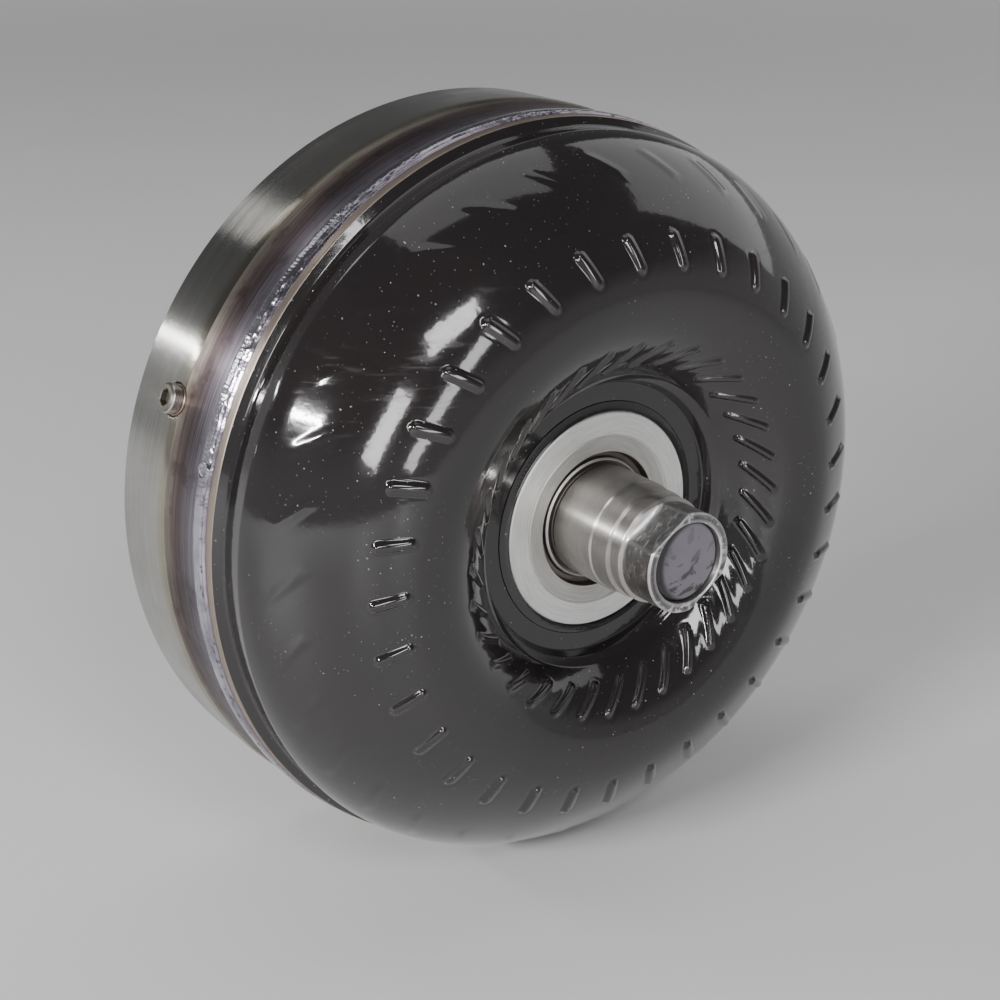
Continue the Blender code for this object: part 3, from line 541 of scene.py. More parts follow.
def front_cover(finish):
    """Drum with its front wall; the rim's grid is finest round the drain plug."""
    front = rounded([(149.0, 75.0, 0.2), (SEAM, 75.0, 0.2), (SEAM, 60.0, 0)], 2)
    slope = bezier((SEAM, 55.5), (SEAM, 51.5), (BAND, 50.0), (BAND, 46.0), 14)
    ring = refined(np.concatenate([[[SEAM, 58.0]], slope, [[BAND, 37.0]]]), RIM_CELL, False)
    rest = rounded([(BAND, 35.0, 0), (BAND, 17.3, 0.9), (155.7, 16.0, 0.9),
                    (70.0, 16.0, 1.6), (64.0, 20.0, 1.6), (16.3, 20.0, 0.2),
                    (16.3, 27.0, 0.2), (66.0, 27.0, 1.6), (72.0, 24.0, 1.6),
                    (146.0, 24.0, 2.4), (149.0, 27.5, 2.4)], 4)
    outline = np.concatenate([front[:-1], ring, refined(rest, 6.0, False)])
    reach = math.radians(3.3)
    fine = np.arange(DRAIN_ANGLE - reach, DRAIN_ANGLE + reach, RIM_CELL / BAND)
    wide = np.linspace(fine[-1], fine[0] + TURN, RIM_COLUMNS)[1:-1]
    made = turned("front_cover_outside", outline, finish=finish, shape=drain_seat,
                  angles=np.concatenate([fine, wide]),
                  part=lambda r, s: 1 if s < FRONT_PAINT_END and r < 155.8 else
                  2 if r < 150 else 3 if s > HEAT_START else 0)
    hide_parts("front_cover")


def hexagon(a, inside):
    """Radius of a hexagonal hole at each angle, with slightly rounded corners."""
    return np.minimum(inside / np.cos(a % (TURN / 6) - TURN / 12), inside * 1.12)


def drain_plug(steel, copper):
    """Copper washer and socket head plug in the rim."""
    stand = on_drum(BAND, DRAIN_STATION, DRAIN_ANGLE)
    ring = rounded([(6.2, -0.5, 0.3), (6.2, -1.4, 0.3), (4.0, -1.4, 0.1), (4.0, -0.5, 0.1)], 4)
    made = turned("drain_plug_copper_washer", ring, 96, [copper], axis=stand)
    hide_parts("drain_plug_washer")
    outline = rounded([(0.0, 1.3, 0), (2.9, 1.8, 0.05), (2.9, 4.2, 0.02), (3.5, 4.4, 0.15),
                       (4.9, 4.4, 1.0), (5.9, 3.4, 1.0), (5.9, -0.2, 0.3), (3.7, -0.2, 0.3),
                       (3.7, -7.0, 0.3), (3.3, -7.4, 0.2), (0.0, -7.4, 0)], 4)

    def socket(r, s, a):
        return np.where((r > 2.8) & (r < 3.0) & (s > 0.5), hexagon(a, 2.95), r), s, a

    made = turned("drain_plug_socket_head", outline, 96, steel, shape=socket, axis=stand,
                  part=lambda r, s: 1 if r < 5.5 and s > 1 else 0)
    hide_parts("drain_plug")


# ---- welds

BEAD_COLUMNS = 2000
PITS = 420                      # small holes along the bead's valley
WELD_STOP_STATION = 76.6
WELD_STOPS = ((164.7, 4.3), (31.0, 4.2))    # angle in degrees and radius of each blob
FILLET_POINTS = 12              # points over the crown of a fillet
FILLET_PITCH = 1.5              # distance between its ripples


def ripples(a, across, radius, pitch, bow, seed):
    """Overlapping half-moons of a weld bead, 0 to 1; across is -1 to 1 over the bead."""
    rng = np.random.default_rng(seed)
    drift = sum(rng.uniform(0.2, 0.6) * np.sin(k * a + rng.uniform(0, TURN))
                for k in (2, 5, 9, 14))
    count = round(TURN * radius / pitch)
    phase = (a * count / TURN + drift + bow * across ** 2) % 1.0
    return np.where(phase < 0.72, phase / 0.72, (1 - phase) / 0.28) ** 1.4


def wander(a, seed, rates):
    """Sum of waves round the axis with random phases and strengths."""
    rng = np.random.default_rng(seed)
    return sum(rng.uniform(-1, 1) * np.sin(k * a + rng.uniform(0, TURN)) for k in rates)


def closure_weld(finish):
    """Bead over the seam: a broad ridge, a pitted valley and a narrow outer ridge."""
    low, high, seat, thickness, circle = 72.4, 82.2, 155.25, 1.15, 156
    middle, half = (low + high) / 2, (high - low) / 2
    t = np.linspace(-1, 1, 37)
    crest = thickness * (1 - (np.abs(t + 0.28) / 0.72) ** 3.2 * (t < 0.44) - (t >= 0.44))
    edge = 0.80 * np.exp(-((t - 0.72) / 0.17) ** 2)
    profile = seat + np.maximum(np.maximum(crest, edge), 0.04) * (1 - t ** 12)
    base = np.array([[seat - 0.02, high - 0.3], [seat - 0.02, 76.0], [seat - 0.02, low + 0.3]])
    outline = np.concatenate([np.stack([profile, middle + t * half], -1), base])

    def pitted(s, a):
        """Depth of the pits scattered along the valley."""
        rng = np.random.default_rng(11)
        depth = np.zeros_like(s)
        for _ in range(PITS):
            at, side = rng.uniform(0, TURN), rng.normal(0.42, 0.17)
            long, wide = rng.uniform(0.4, 1.3), rng.uniform(0.25, 0.5)
            far = np.hypot(((a - at + math.pi) % TURN - math.pi) * circle / long,
                           ((s - middle) / half - side) * half / wide)
            depth = np.maximum(depth, np.exp(-far ** 2) * rng.uniform(0.25, 0.6))
        return depth

    def shape(r, s, a):
        across = (s - middle) / half
        body = np.clip((r - seat) / thickness, 0, 1)
        shift = 0.05 * wander(a, 3, (7, 13, 23, 41)) + 0.03 * wander(a, 4, (90, 130, 171))
        wave = ripples(a, across + 0.3, circle, 1.6, 0.9, 5)
        lumps = 0.6 * wander(a, 6, (61, 97, 143)) + 0.5 * wander(a, 7, (201, 263, 331))
        lift = body ** 0.5 * (0.08 * (wave - 0.5) + 0.04 * lumps)
        r = np.clip(r + lift - pitted(s, a) * np.clip(body * 3, 0, 1), seat - 0.02, 156.95)
        return r, middle + (across + shift * (1 - across ** 2 * 0.5)) * half, a

    def soot(r, s, a):
        return {"wear": np.clip(pitted(s, a) * 2.2, 0, 1)}

    made = turned("closure_weld_bead", outline, BEAD_COLUMNS, [finish], shape=shape, marks=soot)
    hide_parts("closure_weld")


def weld_stops(finish):
    """Round blobs left on the cover where the arc was struck and put out."""
    for number, (angle, size) in enumerate(WELD_STOPS, 1):
        stand = on_drum(SEAM, WELD_STOP_STATION, math.radians(angle))
        outline = rounded([(0.0, 0.80, 0), (size * 0.30, 0.85, 0.5), (size * 0.50, 1.05, 0.5),
                           (size * 0.60, 1.30, 0.3), (size * 0.80, 1.30, 0.5),
                           (size, 0.2, 0.5), (size * 0.97, -0.35, 0.1), (0.0, -0.4, 0)], 5)

        def uneven(r, s, a, size=size, seed=50 + number):
            wide = 1 + 0.05 * wander(a, seed, (2, 3, 5))
            lump = 0.07 * wander(a, seed + 9, (2, 4, 7)) * np.clip(s + 0.3, 0, 1)
            return r * wide, np.minimum(s + lump * np.clip(r / size, 0, 1), 1.4), a

        made = turned(f"closure_weld_stop_{number}", refined(outline, 0.5, False), 96, [finish],
                      shape=uneven, axis=stand)


def fillet_weld(node, finish, crown, feet, radius, height, seed):
    """Ring of rippled weld metal from the curve of its crown and the corners at its foot."""
    outline = np.concatenate([bezier(*crown, FILLET_POINTS), feet])
    top = np.zeros((len(outline), 1))
    top[:FILLET_POINTS, 0] = np.sin(np.linspace(0, math.pi, FILLET_POINTS)) ** 0.5
    middle = outline[top[:, 0] > 0].mean(0)
    across = np.linspace(-1, 1, len(outline))[:, None]

    def shape(r, s, a):
        wave = ripples(a, across, radius, FILLET_PITCH, 0.8, seed) - 0.5
        lump = wander(a, seed + 1, (9, 17, 31, 47)) * 0.35
        out = np.stack([r - middle[0], s - middle[1]])
        out /= np.maximum(np.hypot(*out), 1e-6)
        lift = top * height * (wave + lump)
        return r + out[0] * lift, s + out[1] * lift, a

    made = turned(node + "_bead", outline, 900, [finish], shape=shape)
    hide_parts(node)


def hub_weld(finish):
    """Painted fillet between the hub flange and the shell."""
    crown = (49.1, 120.75), (47.9, 120.9), (46.0, 121.3), (45.35, 121.95)
    feet = (45.35, 120.62), (47.2, 120.62)
    fillet_weld("hub_weld", finish, crown, feet, 47, 0.16, 21)


def pilot_weld(finish):
    """Bare fillet between the crank pilot and the cover."""
    crown = (26.2, 19.6), (24.2, 19.0), (22.8, 17.8), (22.35, 15.8)
    feet = (22.35, 19.68), (24.3, 19.68)
    fillet_weld("pilot_weld", finish, crown, feet, 24, 0.2, 31)


# ---- engine side

PADS = 4
PAD_CIRCLE = 133.35             # radius of the circle of the pads' holes
THREAD_TURNS = 9
THREAD_PITCH = 0.72
WEIGHT_ANGLE = 100
WEIGHT_HALF_ARC = math.radians(8.0)
WEIGHT_CIRCLE = 110.5
WEIGHT_BACK = 15.68             # station of its back, just off the cover's front
SPOT_WELDS = (-5.4, -1.8, 1.8, 5.4)


def drive_pads(finish):
    """Turned bosses with a threaded hole, each with the rippled weld round its foot."""
    for number in range(PADS):
        x, z = polar(PAD_CIRCLE, math.radians(45 + 360 / PADS * number))
        thread = []
        for turn in range(THREAD_TURNS):
            top = 6.9 + THREAD_PITCH * turn
            thread += [(5.0, top), (4.62, top + 0.3), (4.62, top + 0.42)]
        outline = np.concatenate([
            [[0.0, 15.7]],
            rounded([(17.4, 15.7, 0), (14.0, 12.3, 2.6), (14.0, 6.9, 0.3), (13.1, 6.0, 0.3),
                     (5.6, 6.0, 0.1)], 5)[:-1],
            np.array([(5.6, 6.0), (5.0, 6.6)]), np.array(thread),
            rounded([(4.62, 13.5, 0), (4.62, 13.7, 0.1), (0.0, 14.2, 0)], 2)])

        def shape(r, s, a):
            toe = np.clip((r - 14.05) / 1.2, 0, 1) * np.clip((15.6 - s) / 1.0, 0, 1)
            wave = ripples(a, (r - 15.7) / 1.7, 15.7, 1.5, 0.7, 41 + number) - 0.5
            return r + toe * (0.35 * wave), s - toe * 0.2 * wave, a

        made = turned(f"drive_pad_boss_{number + 1}", outline, 144, finish, shape=shape,
                      part=lambda r, s: 1 if r > 14.05 and s > 11 else 0,
                      axis=lambda grid: grid + np.array([x, 0, z]) * MM)
        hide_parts("drive_pad_%d" % (number + 1))


def crank_pilot(finish):
    """Centring spigot with a groove and a centre hole."""
    outline = rounded([(0.0, 26.5, 0), (15.4, 26.5, 0.6), (16.0, 25.9, 0.6), (16.0, 19.7, 0.2),
                       (22.0, 19.7, 0.2), (22.0, 13.0, 0.2), (21.7, 12.7, 0.1),
                       (21.7, 11.4, 0.1), (22.0, 11.1, 0.2), (22.0, 2.0, 0.4), (20.0, 0.0, 0.4),
                       (4.2, 0.0, 0.2), (2.4, 3.2, 0.1), (0.0, 4.4, 0)], 4)
    made = turned("crank_pilot_spigot", refined(outline, 2.5, False), 220, finish)
    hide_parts("crank_pilot")


def balance_weight(finish):
    """Curved slip of plate with rounded edges and four sunken spot welds."""
    section = refined(rounded([(104.2, WEIGHT_BACK, 0.1), (104.2, 13.1, 0.9), (116.8, 13.1, 0.9),
                               (116.8, WEIGHT_BACK, 0.1)], 6), 0.5)
    t = np.linspace(-1, 1, 102)
    angle = np.radians(WEIGHT_ANGLE) + WEIGHT_HALF_ARC * np.sin(t * math.pi / 2)
    from_end = (WEIGHT_HALF_ARC - np.abs(angle - np.radians(WEIGHT_ANGLE))) * WEIGHT_CIRCLE
    shrink = np.sqrt(1 - (1 - np.clip(from_end, 0, 1)) ** 2) * 0.08 + 0.92
    r = WEIGHT_CIRCLE + (section[:, :1] - WEIGHT_CIRCLE) * shrink[None, :]
    thin = 0.6 + 0.4 * (shrink[None, :] - 0.92) / 0.08
    s = WEIGHT_BACK + (section[:, 1:] - WEIGHT_BACK) * thin
    a = np.repeat(angle[None, :], len(section), 0)
    for turn in SPOT_WELDS:
        far = np.hypot((a - math.radians(WEIGHT_ANGLE + turn)) * WEIGHT_CIRCLE, r - WEIGHT_CIRCLE)
        s = s + np.where(s < 14.5, 0.45 * np.exp(-(far / 2.1) ** 4)
                         - 0.16 * np.exp(-((far - 3.0) / 0.5) ** 2), 0)
    points = to_world(r, s, a)
    rows, columns = len(section), len(angle)
    faces = grid_faces(np.arange(rows)[:, None], np.arange(columns - 1)[None, :], rows, columns)
    flip = volume(points.reshape(-1, 3), faces) < 0
    faces = faces[:, ::-1] if flip else faces
    first = list(range(0, rows * columns, columns))
    last = [index + columns - 1 for index in first]
    caps = [first[::-1], last] if flip else [first, last[::-1]]
    made = make("balance_weight_plate", points.reshape(-1, 3), faces.tolist() + caps,
                finish=finish)
    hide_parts("balance_weight")


# ---- pump hub

FLAT_ANGLE = math.radians(124)
FLAT_HALF = 17.3                # distance of a flat from the axis
FLAT_START = 161.0
DRIVE_RADIUS = 20.2
END_EDGE = 175.2                # the end's chamfer starts here


def from_flat(a):
    """Angle from the middle of the nearer flat."""
    return (a - FLAT_ANGLE + math.pi / 2) % math.pi - math.pi / 2


def pump_hub(finish):
    """Flange, undercut, journal, collar and the drive end with two flats."""
    corners = [
        (16.3, 175.35, 0.05), (16.85, 175.8, 0.1), (19.5, 175.8, 0.35), (20.2, 175.1, 0.5),
        (20.2, 161.15, 0), (20.2, 160.85, 0), (20.2, 160.3, 0.2), (21.6, 159.7, 0.4),
        (21.6, 156.5, 0.4), (20.8, 156.0, 0.3), (20.8, 153.4, 0.4), (22.2, 153.0, 0.3),
        (22.2, 144.1, 0.3), (22.9, 143.4, 0.3), (22.9, 121.6, 0.5), (22.1, 120.6, 0.5),
        (22.3, 119.6, 0.5), (24.5, 119.9, 0.4), (25.3, 119.2, 0.4), (25.5, 117.6, 0.5),
        (27.9, 117.6, 0.9), (28.3, 121.5, 0.25), (34.5, 121.7, 0.2), (34.9, 121.35, 0.15),
        (35.4, 121.75, 0.15), (35.7, 122.2, 0.2), (44.5, 122.2, 0.35), (45.0, 121.7, 0.35),
        (45.0, 108.5, 0.3), (14.6, 108.5, 0.3), (14.6, 170.3, 0.1), (16.3, 170.3, 0.1)]
    outline = refined(rounded(corners, 4), 2.2)
    corner = math.acos(FLAT_HALF / DRIVE_RADIUS)
    extra = [FLAT_ANGLE + side * math.pi + sign * corner + nudge
             for side in (0, 1) for sign in (-1, 1)
             for nudge in (-0.02, -0.008, -0.003, 0.003, 0.008, 0.02)]
    angles = np.sort(np.concatenate([np.linspace(0, TURN, 300, endpoint=False),
                                     np.mod(extra, TURN)]))

    def flats(r, s, a):
        """Cuts the two flats, with worn edges and the chamfer at the end."""
        turn = from_flat(a)
        start = np.clip((s - FLAT_START + 0.15) / 0.3, 0, 1)
        cut = FLAT_HALF / np.maximum(np.cos(turn), 0.5)
        worn = 0.05 * np.exp(-((np.abs(turn) - corner) / 0.02) ** 2)
        cut = np.where(s > END_EDGE, cut - (s - END_EDGE) * 0.55, cut) - worn
        r = np.where((s > FLAT_START - 0.16) & (r > 17.0),
                     r + (np.minimum(r, np.maximum(cut, 17.0)) - r) * start, r)
        return r, s, a

    def edges(r, s, a):
        """1 along the worn arrises of the drive end, 0 elsewhere."""
        turn = from_flat(a)
        arris = np.exp(-((np.abs(turn) - corner) * DRIVE_RADIUS / 0.75) ** 2) * (s > FLAT_START)
        rim = np.where(np.abs(turn) < corner, FLAT_HALF / np.cos(np.minimum(turn, 1.0)), 20.0)
        end = np.exp(-((s - 175.6) / 0.5) ** 2 - ((np.minimum(r, rim) - rim + 0.2) / 0.35) ** 2)
        mouth = np.exp(-((s - 175.6) / 0.4) ** 2 - ((r - 16.7) / 0.25) ** 2)
        step = np.exp(-((s - FLAT_START) / 0.5) ** 2) * (np.abs(turn) < corner) * (r > 17)
        collar = np.exp(-((s - 159.9) / 0.5) ** 2) * (r > 17)
        wear = np.maximum.reduce([arris, end, mouth, step, 0.8 * collar])
        return {"wear": np.clip(wear, 0, 1) * (r > 16.0)}

    def place(r, s):
        """Which finish a stretch has, as a number in the order that they are handed in."""
        if s < 107 or r < 16.5:
            return 3
        if r < 28.4 and s < 121.6 and (r > 25.2 or r < 24.0):
            return 4
        if s > END_EDGE and 16.6 < r < 19.9:
            return 5
        return 0 if s < 160.5 and r < 23.2 else 2 if s > 160.5 else 1

    made = turned("pump_hub_outside", outline, finish=finish, shape=flats, marks=edges,
                  angles=angles, part=place)
    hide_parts("pump_hub")


def hub_plug(finish):
    """Hollow plastic cap that closes the mouth of the hub."""
    outline = rounded([(0.0, 173.7, 0), (15.2, 173.65, 0.5), (15.9, 173.1, 0.4),
                       (15.9, 170.6, 0.2), (14.3, 170.6, 0.2), (14.3, 162.0, 0.5),
                       (12.4, 162.0, 0.4), (12.4, 171.6, 1.0), (0.0, 172.2, 0)], 4)

    def painted_bore_shadow(r, s, a):
        """Painted shadow of the bore's wall on the cap's face, widest at one side."""
        far = np.hypot(r * np.cos(a) - 4.8, r * np.sin(a) + 0.8)
        return {"wear": np.clip((far - 15.0) / 1.8, 0, 1) * (s > 172.5)}

    made = turned("shipping_plug_cap", refined(outline, 0.7, False), 200, [finish],
                  marks=painted_bore_shadow, body="shipping_plug")
    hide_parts("hub_plug")


# ---- finishes

def rim_tint(g, colour):
    """Heat colours beside the seam: straw, then brown, then lilac under the bead."""
    drift = g.fit(g.turned_noise(90.0, 2.2, 2.0), -1.6, 1.6)
    station = g.plus(g.times(g.y, -1000.0), drift)
    heat = g.ramp(g.fit(station, 0.0, 1.0, 40.0, 80.0),
                  (0.00, (1.0, 1.0, 1.0)), (0.16, (1.0, 0.97, 0.88)),
                  (0.27, (0.93, 0.86, 0.74)), (0.36, (0.60, 0.51, 0.45)),
                  (0.47, (0.43, 0.35, 0.35)), (0.60, (0.50, 0.44, 0.47)),
                  (0.72, (0.66, 0.63, 0.74)), (0.84, (0.85, 0.84, 0.92)),
                  (1.00, (0.80, 0.78, 0.80)))
    streak = g.step(g.turned_noise(1500.0, 2.5, 3.0), 0.44, 0.62)
    zone = g.times(g.step(station, 49.0, 54.0), g.step(station, 70.0, 75.0, flip=True))
    patch = g.calc("MAXIMUM", streak, g.step(g.noise(75.0, 4.0, 0.65), 0.50, 0.66))
    soot = g.mix(g.times(g.times(patch, zone), 0.65), (1.0, 1.0, 1.0), (0.40, 0.32, 0.33))
    return g.tinted(g.tinted(colour, heat), soot)


def flange_tint(g, colour):
    """The face inside the turned line is a little darker than the outer land."""
    inner = g.step(g.radius_mm(), 34.6, 35.4, flip=True)
    return g.mix(inner, colour, g.tinted(colour, (0.70, 0.69, 0.67)))


def weld_steel(name):
    """Bright frozen weld metal with soot pits and blue and brown heat colours at the toes."""
    g = Graph(name)
    cloud = g.noise(70.0, 4.0, 0.6)
    fine = g.noise(900.0, 3.0, 0.6)
    colour = g.mix(g.step(cloud, 0.35, 0.7), (0.50, 0.49, 0.54), (0.26, 0.24, 0.29))
    radius = g.radius_mm()
    toe = g.step(radius, 155.4, 156.0, flip=True)
    big = g.calc("GREATER_THAN", radius, 150.0)
    colour = g.mix(g.times(g.times(toe, big), 0.8), colour, (0.27, 0.22, 0.27))
    soot = g.calc("MAXIMUM", g.specks(260.0, 0.20, 0.16), g.specks(620.0, 0.22, 0.12))
    soot = g.times(soot, g.step(g.noise(34.0, 2.0), 0.42, 0.6))
    soot = g.calc("MAXIMUM", soot, g.mark("wear"))
    colour = g.mix(g.times(soot, 0.9), colour, (0.035, 0.032, 0.036))
    rough = g.plus(g.fit(cloud, 0.14, 0.28), g.times(soot, 0.35))
    height = g.plus(g.times(fine, 0.5), g.times(cloud, 0.7))
    return g.finish(colour=colour, metal=1.0, rough=rough, normal=g.bump(height, 0.00009, 0.8))


def stamped_steel(name, base, rough=0.36, oil=0.4):
    """Rolled sheet: faint rolling grain, oil film and handling scratches."""
    g = Graph(name)
    grain = g.noise(1.0, 3.0, vector=g.scaled(900.0, 900.0, 70.0))
    film = g.noise(28.0, 4.0, 0.6, distortion=0.4)
    scratch = g.noise(1.0, 2.0, 0.7, vector=g.scaled(2600.0, 150.0, 150.0), distortion=0.8)
    mark = g.times(g.step(scratch, 0.63, 0.70), g.step(film, 0.45, 0.6))
    colour = g.mix(g.times(g.step(film, 0.4, 0.7), oil), base, shade(base, 0.62, 0.54, 0.44))
    colour = g.mix(g.times(grain, 0.35), colour, shade(base, 0.7))
    colour = g.mix(g.times(mark, 0.5), colour, shade(base, 1.35))
    rough_map = g.calc("SUBTRACT", g.fit(film, rough * 1.25, rough * 0.7), g.times(mark, 0.08))
    height = g.plus(g.times(grain, 0.5), g.times(mark, -0.8))
    return g.finish(colour=colour, metal=1.0, rough=rough_map, normal=g.bump(height, 0.00002))


def cast_metal(name, base):
    """Sand-fine cast skin with a few pores."""
    g = Graph(name)
    skin = g.noise(700.0, 4.0, 0.6)
    cloud = g.noise(30.0, 3.0)
    pores = g.specks(420.0, 0.16, 0.10)
    colour = g.mix(g.fit(cloud, 0.0, 1.0), base, shade(base, 0.8))
    colour = g.mix(g.times(pores, 0.8), colour, shade(base, 0.3))
    height = g.calc("SUBTRACT", g.times(skin, 0.8), pores)
    return g.finish(colour=colour, metal=1.0, rough=g.fit(cloud, 0.42, 0.6),
                    normal=g.bump(height, 0.00008))


def rubber(name):
    """Dull black rubber with a faint bloom."""
    g = Graph(name)
    bloom = g.noise(40.0, 4.0)
    colour = g.mix(bloom, (0.012, 0.012, 0.013), (0.034, 0.033, 0.031))
    return g.finish(colour=colour, rough=g.fit(bloom, 0.42, 0.62), specular=0.4,
                    normal=g.bump(g.noise(1200.0, 2.0), 0.00003))


def friction_paper(name):
    """Pressed fibre lining, oil-dark, with short fibres and a worn sheen."""
    g = Graph(name)
    fibre = g.noise(1.0, 4.0, 0.7, vector=g.scaled(1500.0, 400.0, 700.0), distortion=1.2)
    cloud = g.noise(35.0, 3.0)
    colour = g.mix(g.step(fibre, 0.35, 0.65), (0.075, 0.05, 0.032), (0.16, 0.12, 0.075))
    colour = g.mix(g.times(g.step(cloud, 0.45, 0.7), 0.6), colour, (0.035, 0.026, 0.02))
    return g.finish(colour=colour, rough=g.fit(cloud, 0.75, 0.5), specular=0.3,
                    normal=g.bump(fibre, 0.00012, 0.9))


def moulded(name, light, dark, rough):
    """Moulded plastic with fine flecks."""
    g = Graph(name)
    cloud = g.noise(60.0, 4.0)
    fleck = g.noise(1400.0, 2.0, 0.7)
    colour = g.mix(cloud, light, dark)
    colour = g.mix(g.times(g.step(fleck, 0.6, 0.7), 0.3), colour, shade(light, 1.6))
    return g.finish(colour=colour, rough=g.fit(cloud, rough, rough + 0.12),
                    specular=0.45, normal=g.bump(fleck, 0.00003))


def plug_plastic(name):
    """Dark grey cap with the curved strokes of a wiped face, and a painted shadow along one side
    of its rim.
    """
    g = Graph(name)
    offset = g.out("VectorMath", {0: g.object, 1: (0.006, 0.0, -0.014)}, operation="ADD")
    far = g.node("VectorMath", {0: offset}, operation="LENGTH").outputs["Value"]
    vector = g.out("CombineXYZ", {0: g.times(far, 2600.0), 1: g.times(g.x, 110.0),
                                  2: g.times(g.z, 110.0)})
    stroke = g.noise(1.0, 3.0, 0.6, vector=vector)
    cloud = g.noise(60.0, 3.0)
    colour = g.mix(cloud, (0.19, 0.175, 0.200), (0.135, 0.126, 0.145))
    low = g.step(g.z, -0.006, 0.006, flip=True)
    stroke = g.plus(stroke, g.fit(g.noise(300.0, 2.0), -0.05, 0.05))
    dab = g.times(g.step(stroke, 0.555, 0.61), g.fit(low, 0.3, 0.9, 0.0, 1.0))
    colour = g.mix(dab, colour, (0.035, 0.032, 0.038))
    # painted shadow: the mark from hub_plug darkens one side of the face as if the bore's wall
    # shaded it
    colour = g.mix(g.times(g.mark("wear"), 0.92), colour, (0.012, 0.011, 0.013))
    return g.finish(colour=colour, rough=g.fit(stroke, 0.5, 0.36), specular=0.5,
                    normal=g.bump(stroke, 0.00005, 0.6))


def worn_steel(name, base, rough):
    """Dark, scratched drive end: bright where the arrises are worn."""
    g = Graph(name)
    blotch = g.noise(110.0, 5.0, 0.65)
    coarse = g.noise(34.0, 3.0)
    lines = g.turned_noise(1900.0, 3.5, 3.0)
    nick = g.noise(1.0, 3.0, 0.7, vector=g.scaled(330.0, 1500.0, 330.0), distortion=1.6)
    colour = g.mix(g.step(blotch, 0.36, 0.66), base, shade(base, 0.5))
    smear = g.noise(1.0, 4.0, 0.65, vector=g.scaled(150.0, 420.0, 150.0), distortion=0.8)
    colour = g.mix(g.times(g.step(smear, 0.52, 0.64), 0.8), colour, (0.88, 0.88, 0.88))
    colour = g.mix(g.times(g.step(coarse, 0.5, 0.66), 0.45), colour, shade(base, 0.62, 0.50, 0.42))
    nicks = g.times(g.step(nick, 0.60, 0.68), g.step(blotch, 0.4, 0.56))
    colour = g.mix(g.times(nicks, 0.7), colour, (0.62, 0.62, 0.62))
    wear = g.times(g.mark("wear"), g.fit(blotch, 1.0, 0.55))
    colour = g.mix(wear, colour, (0.98, 0.98, 0.98))
    rough_map = g.calc("SUBTRACT", g.fit(blotch, rough, rough + 0.16), g.times(wear, 0.10))
    height = g.calc("SUBTRACT", g.times(lines, 0.5), g.times(nicks, 0.8))
    return g.finish(colour=colour, metal=1.0, rough=rough_map, turned=0.4,
                    tangent=g.round_axis(), normal=g.bump(height, 0.00005))


def clothe(finishes):
    """Gives each CAD node that is still shown the finish of its kind."""
    for finish, names in finishes:
        for name in names:
            mesh = NODES[name].data
            mesh.materials.clear()
            mesh.materials.append(finish)
            mesh.polygons.foreach_set("material_index", [0] * len(mesh.polygons))


def numbered(stem, count):
    """Names of pieces that differ only in their number."""
    return [f"{stem}_{number + 1}" for number in range(count)]


paint = gloss_black("black_enamel")
matt_paint = gloss_black("black_undercoat", 0.35)
rim = turned_steel("rim_turned_steel", (0.43, 0.425, 0.40), rim_tint, 0.18, 1500.0, 0.00004,
                   0.55, 0.9)
hot_rim = turned_steel("rim_heat_scale", (0.31, 0.295, 0.30), rim_tint, 0.36, 1800.0, 0.00005,
                       0.75, 0.6)
bore = turned_steel("bore_turned_steel", (0.40, 0.39, 0.38), None, 0.34, 1500.0, 0.00004)
journal = turned_steel("ground_journal", (0.66, 0.63, 0.60), None, 0.31, 3600.0, 0.000012,
                       0.3, 0.96)
flange = turned_steel("faced_flange", (0.93, 0.93, 0.915), flange_tint, 0.5, 1800.0, 0.00002,
                      0.08, 0.2)
# painted shade: the undercut is coloured dark to stand in for the shade inside the groove
recess = turned_steel("hub_undercut", (0.20, 0.175, 0.165), None, 0.40, 1500.0, 0.00004, 0.3, 0.3)
plug_steel = turned_steel("plug_head", (0.66, 0.62, 0.60), None, 0.26, 1800.0, 0.00003, 0.4, 0.0)
drive_end = worn_steel("drive_end_steel", (0.50, 0.49, 0.485), 0.36)
end_face = worn_steel("hub_end_face", (0.21, 0.205, 0.215), 0.40)
plug_face = turned_steel("plug_face", (0.20, 0.19, 0.16), None, 0.42, 1500.0, 0.00004, 0.6, 0.0)
burnt = turned_steel("burnt_shell_edge", (0.42, 0.35, 0.30), None, 0.38, 1500.0, 0.00004, 0.5,
                     0.4, 0.8)
boss = turned_steel("turned_boss", (0.46, 0.46, 0.455), None, 0.27, 2000.0, 0.00003, 0.4, 0.0,
                    0.5)
weld = weld_steel("weld_bead_steel")
sheet = stamped_steel("stamped_sheet", (0.50, 0.50, 0.49))
ground = stamped_steel("hardened_ground_steel", (0.58, 0.58, 0.575), 0.2, 0.25)
dark = stamped_steel("dark_spring_steel", (0.17, 0.17, 0.18), 0.34, 0.3)
copper = stamped_steel("copper_sheet", (0.60, 0.44, 0.37), 0.30, 0.3)
brass = stamped_steel("brass_sheet", (0.72, 0.53, 0.28), 0.32, 0.35)
cast = cast_metal("cast_aluminium", (0.66, 0.66, 0.66))

front_cover([rim, matt_paint, bore, hot_rim])
drain_plug([plug_steel, plug_face], copper)
closure_weld(weld)
weld_stops(weld)
hub_weld(paint)
pilot_weld(weld)
drive_pads([boss, weld])
crank_pilot([boss])
balance_weight([sheet])
impeller_shell([paint, burnt])
pump_hub([journal, flange, drive_end, bore, recess, end_face])
hub_plug(plug_plastic("plug_plastic_grey"))

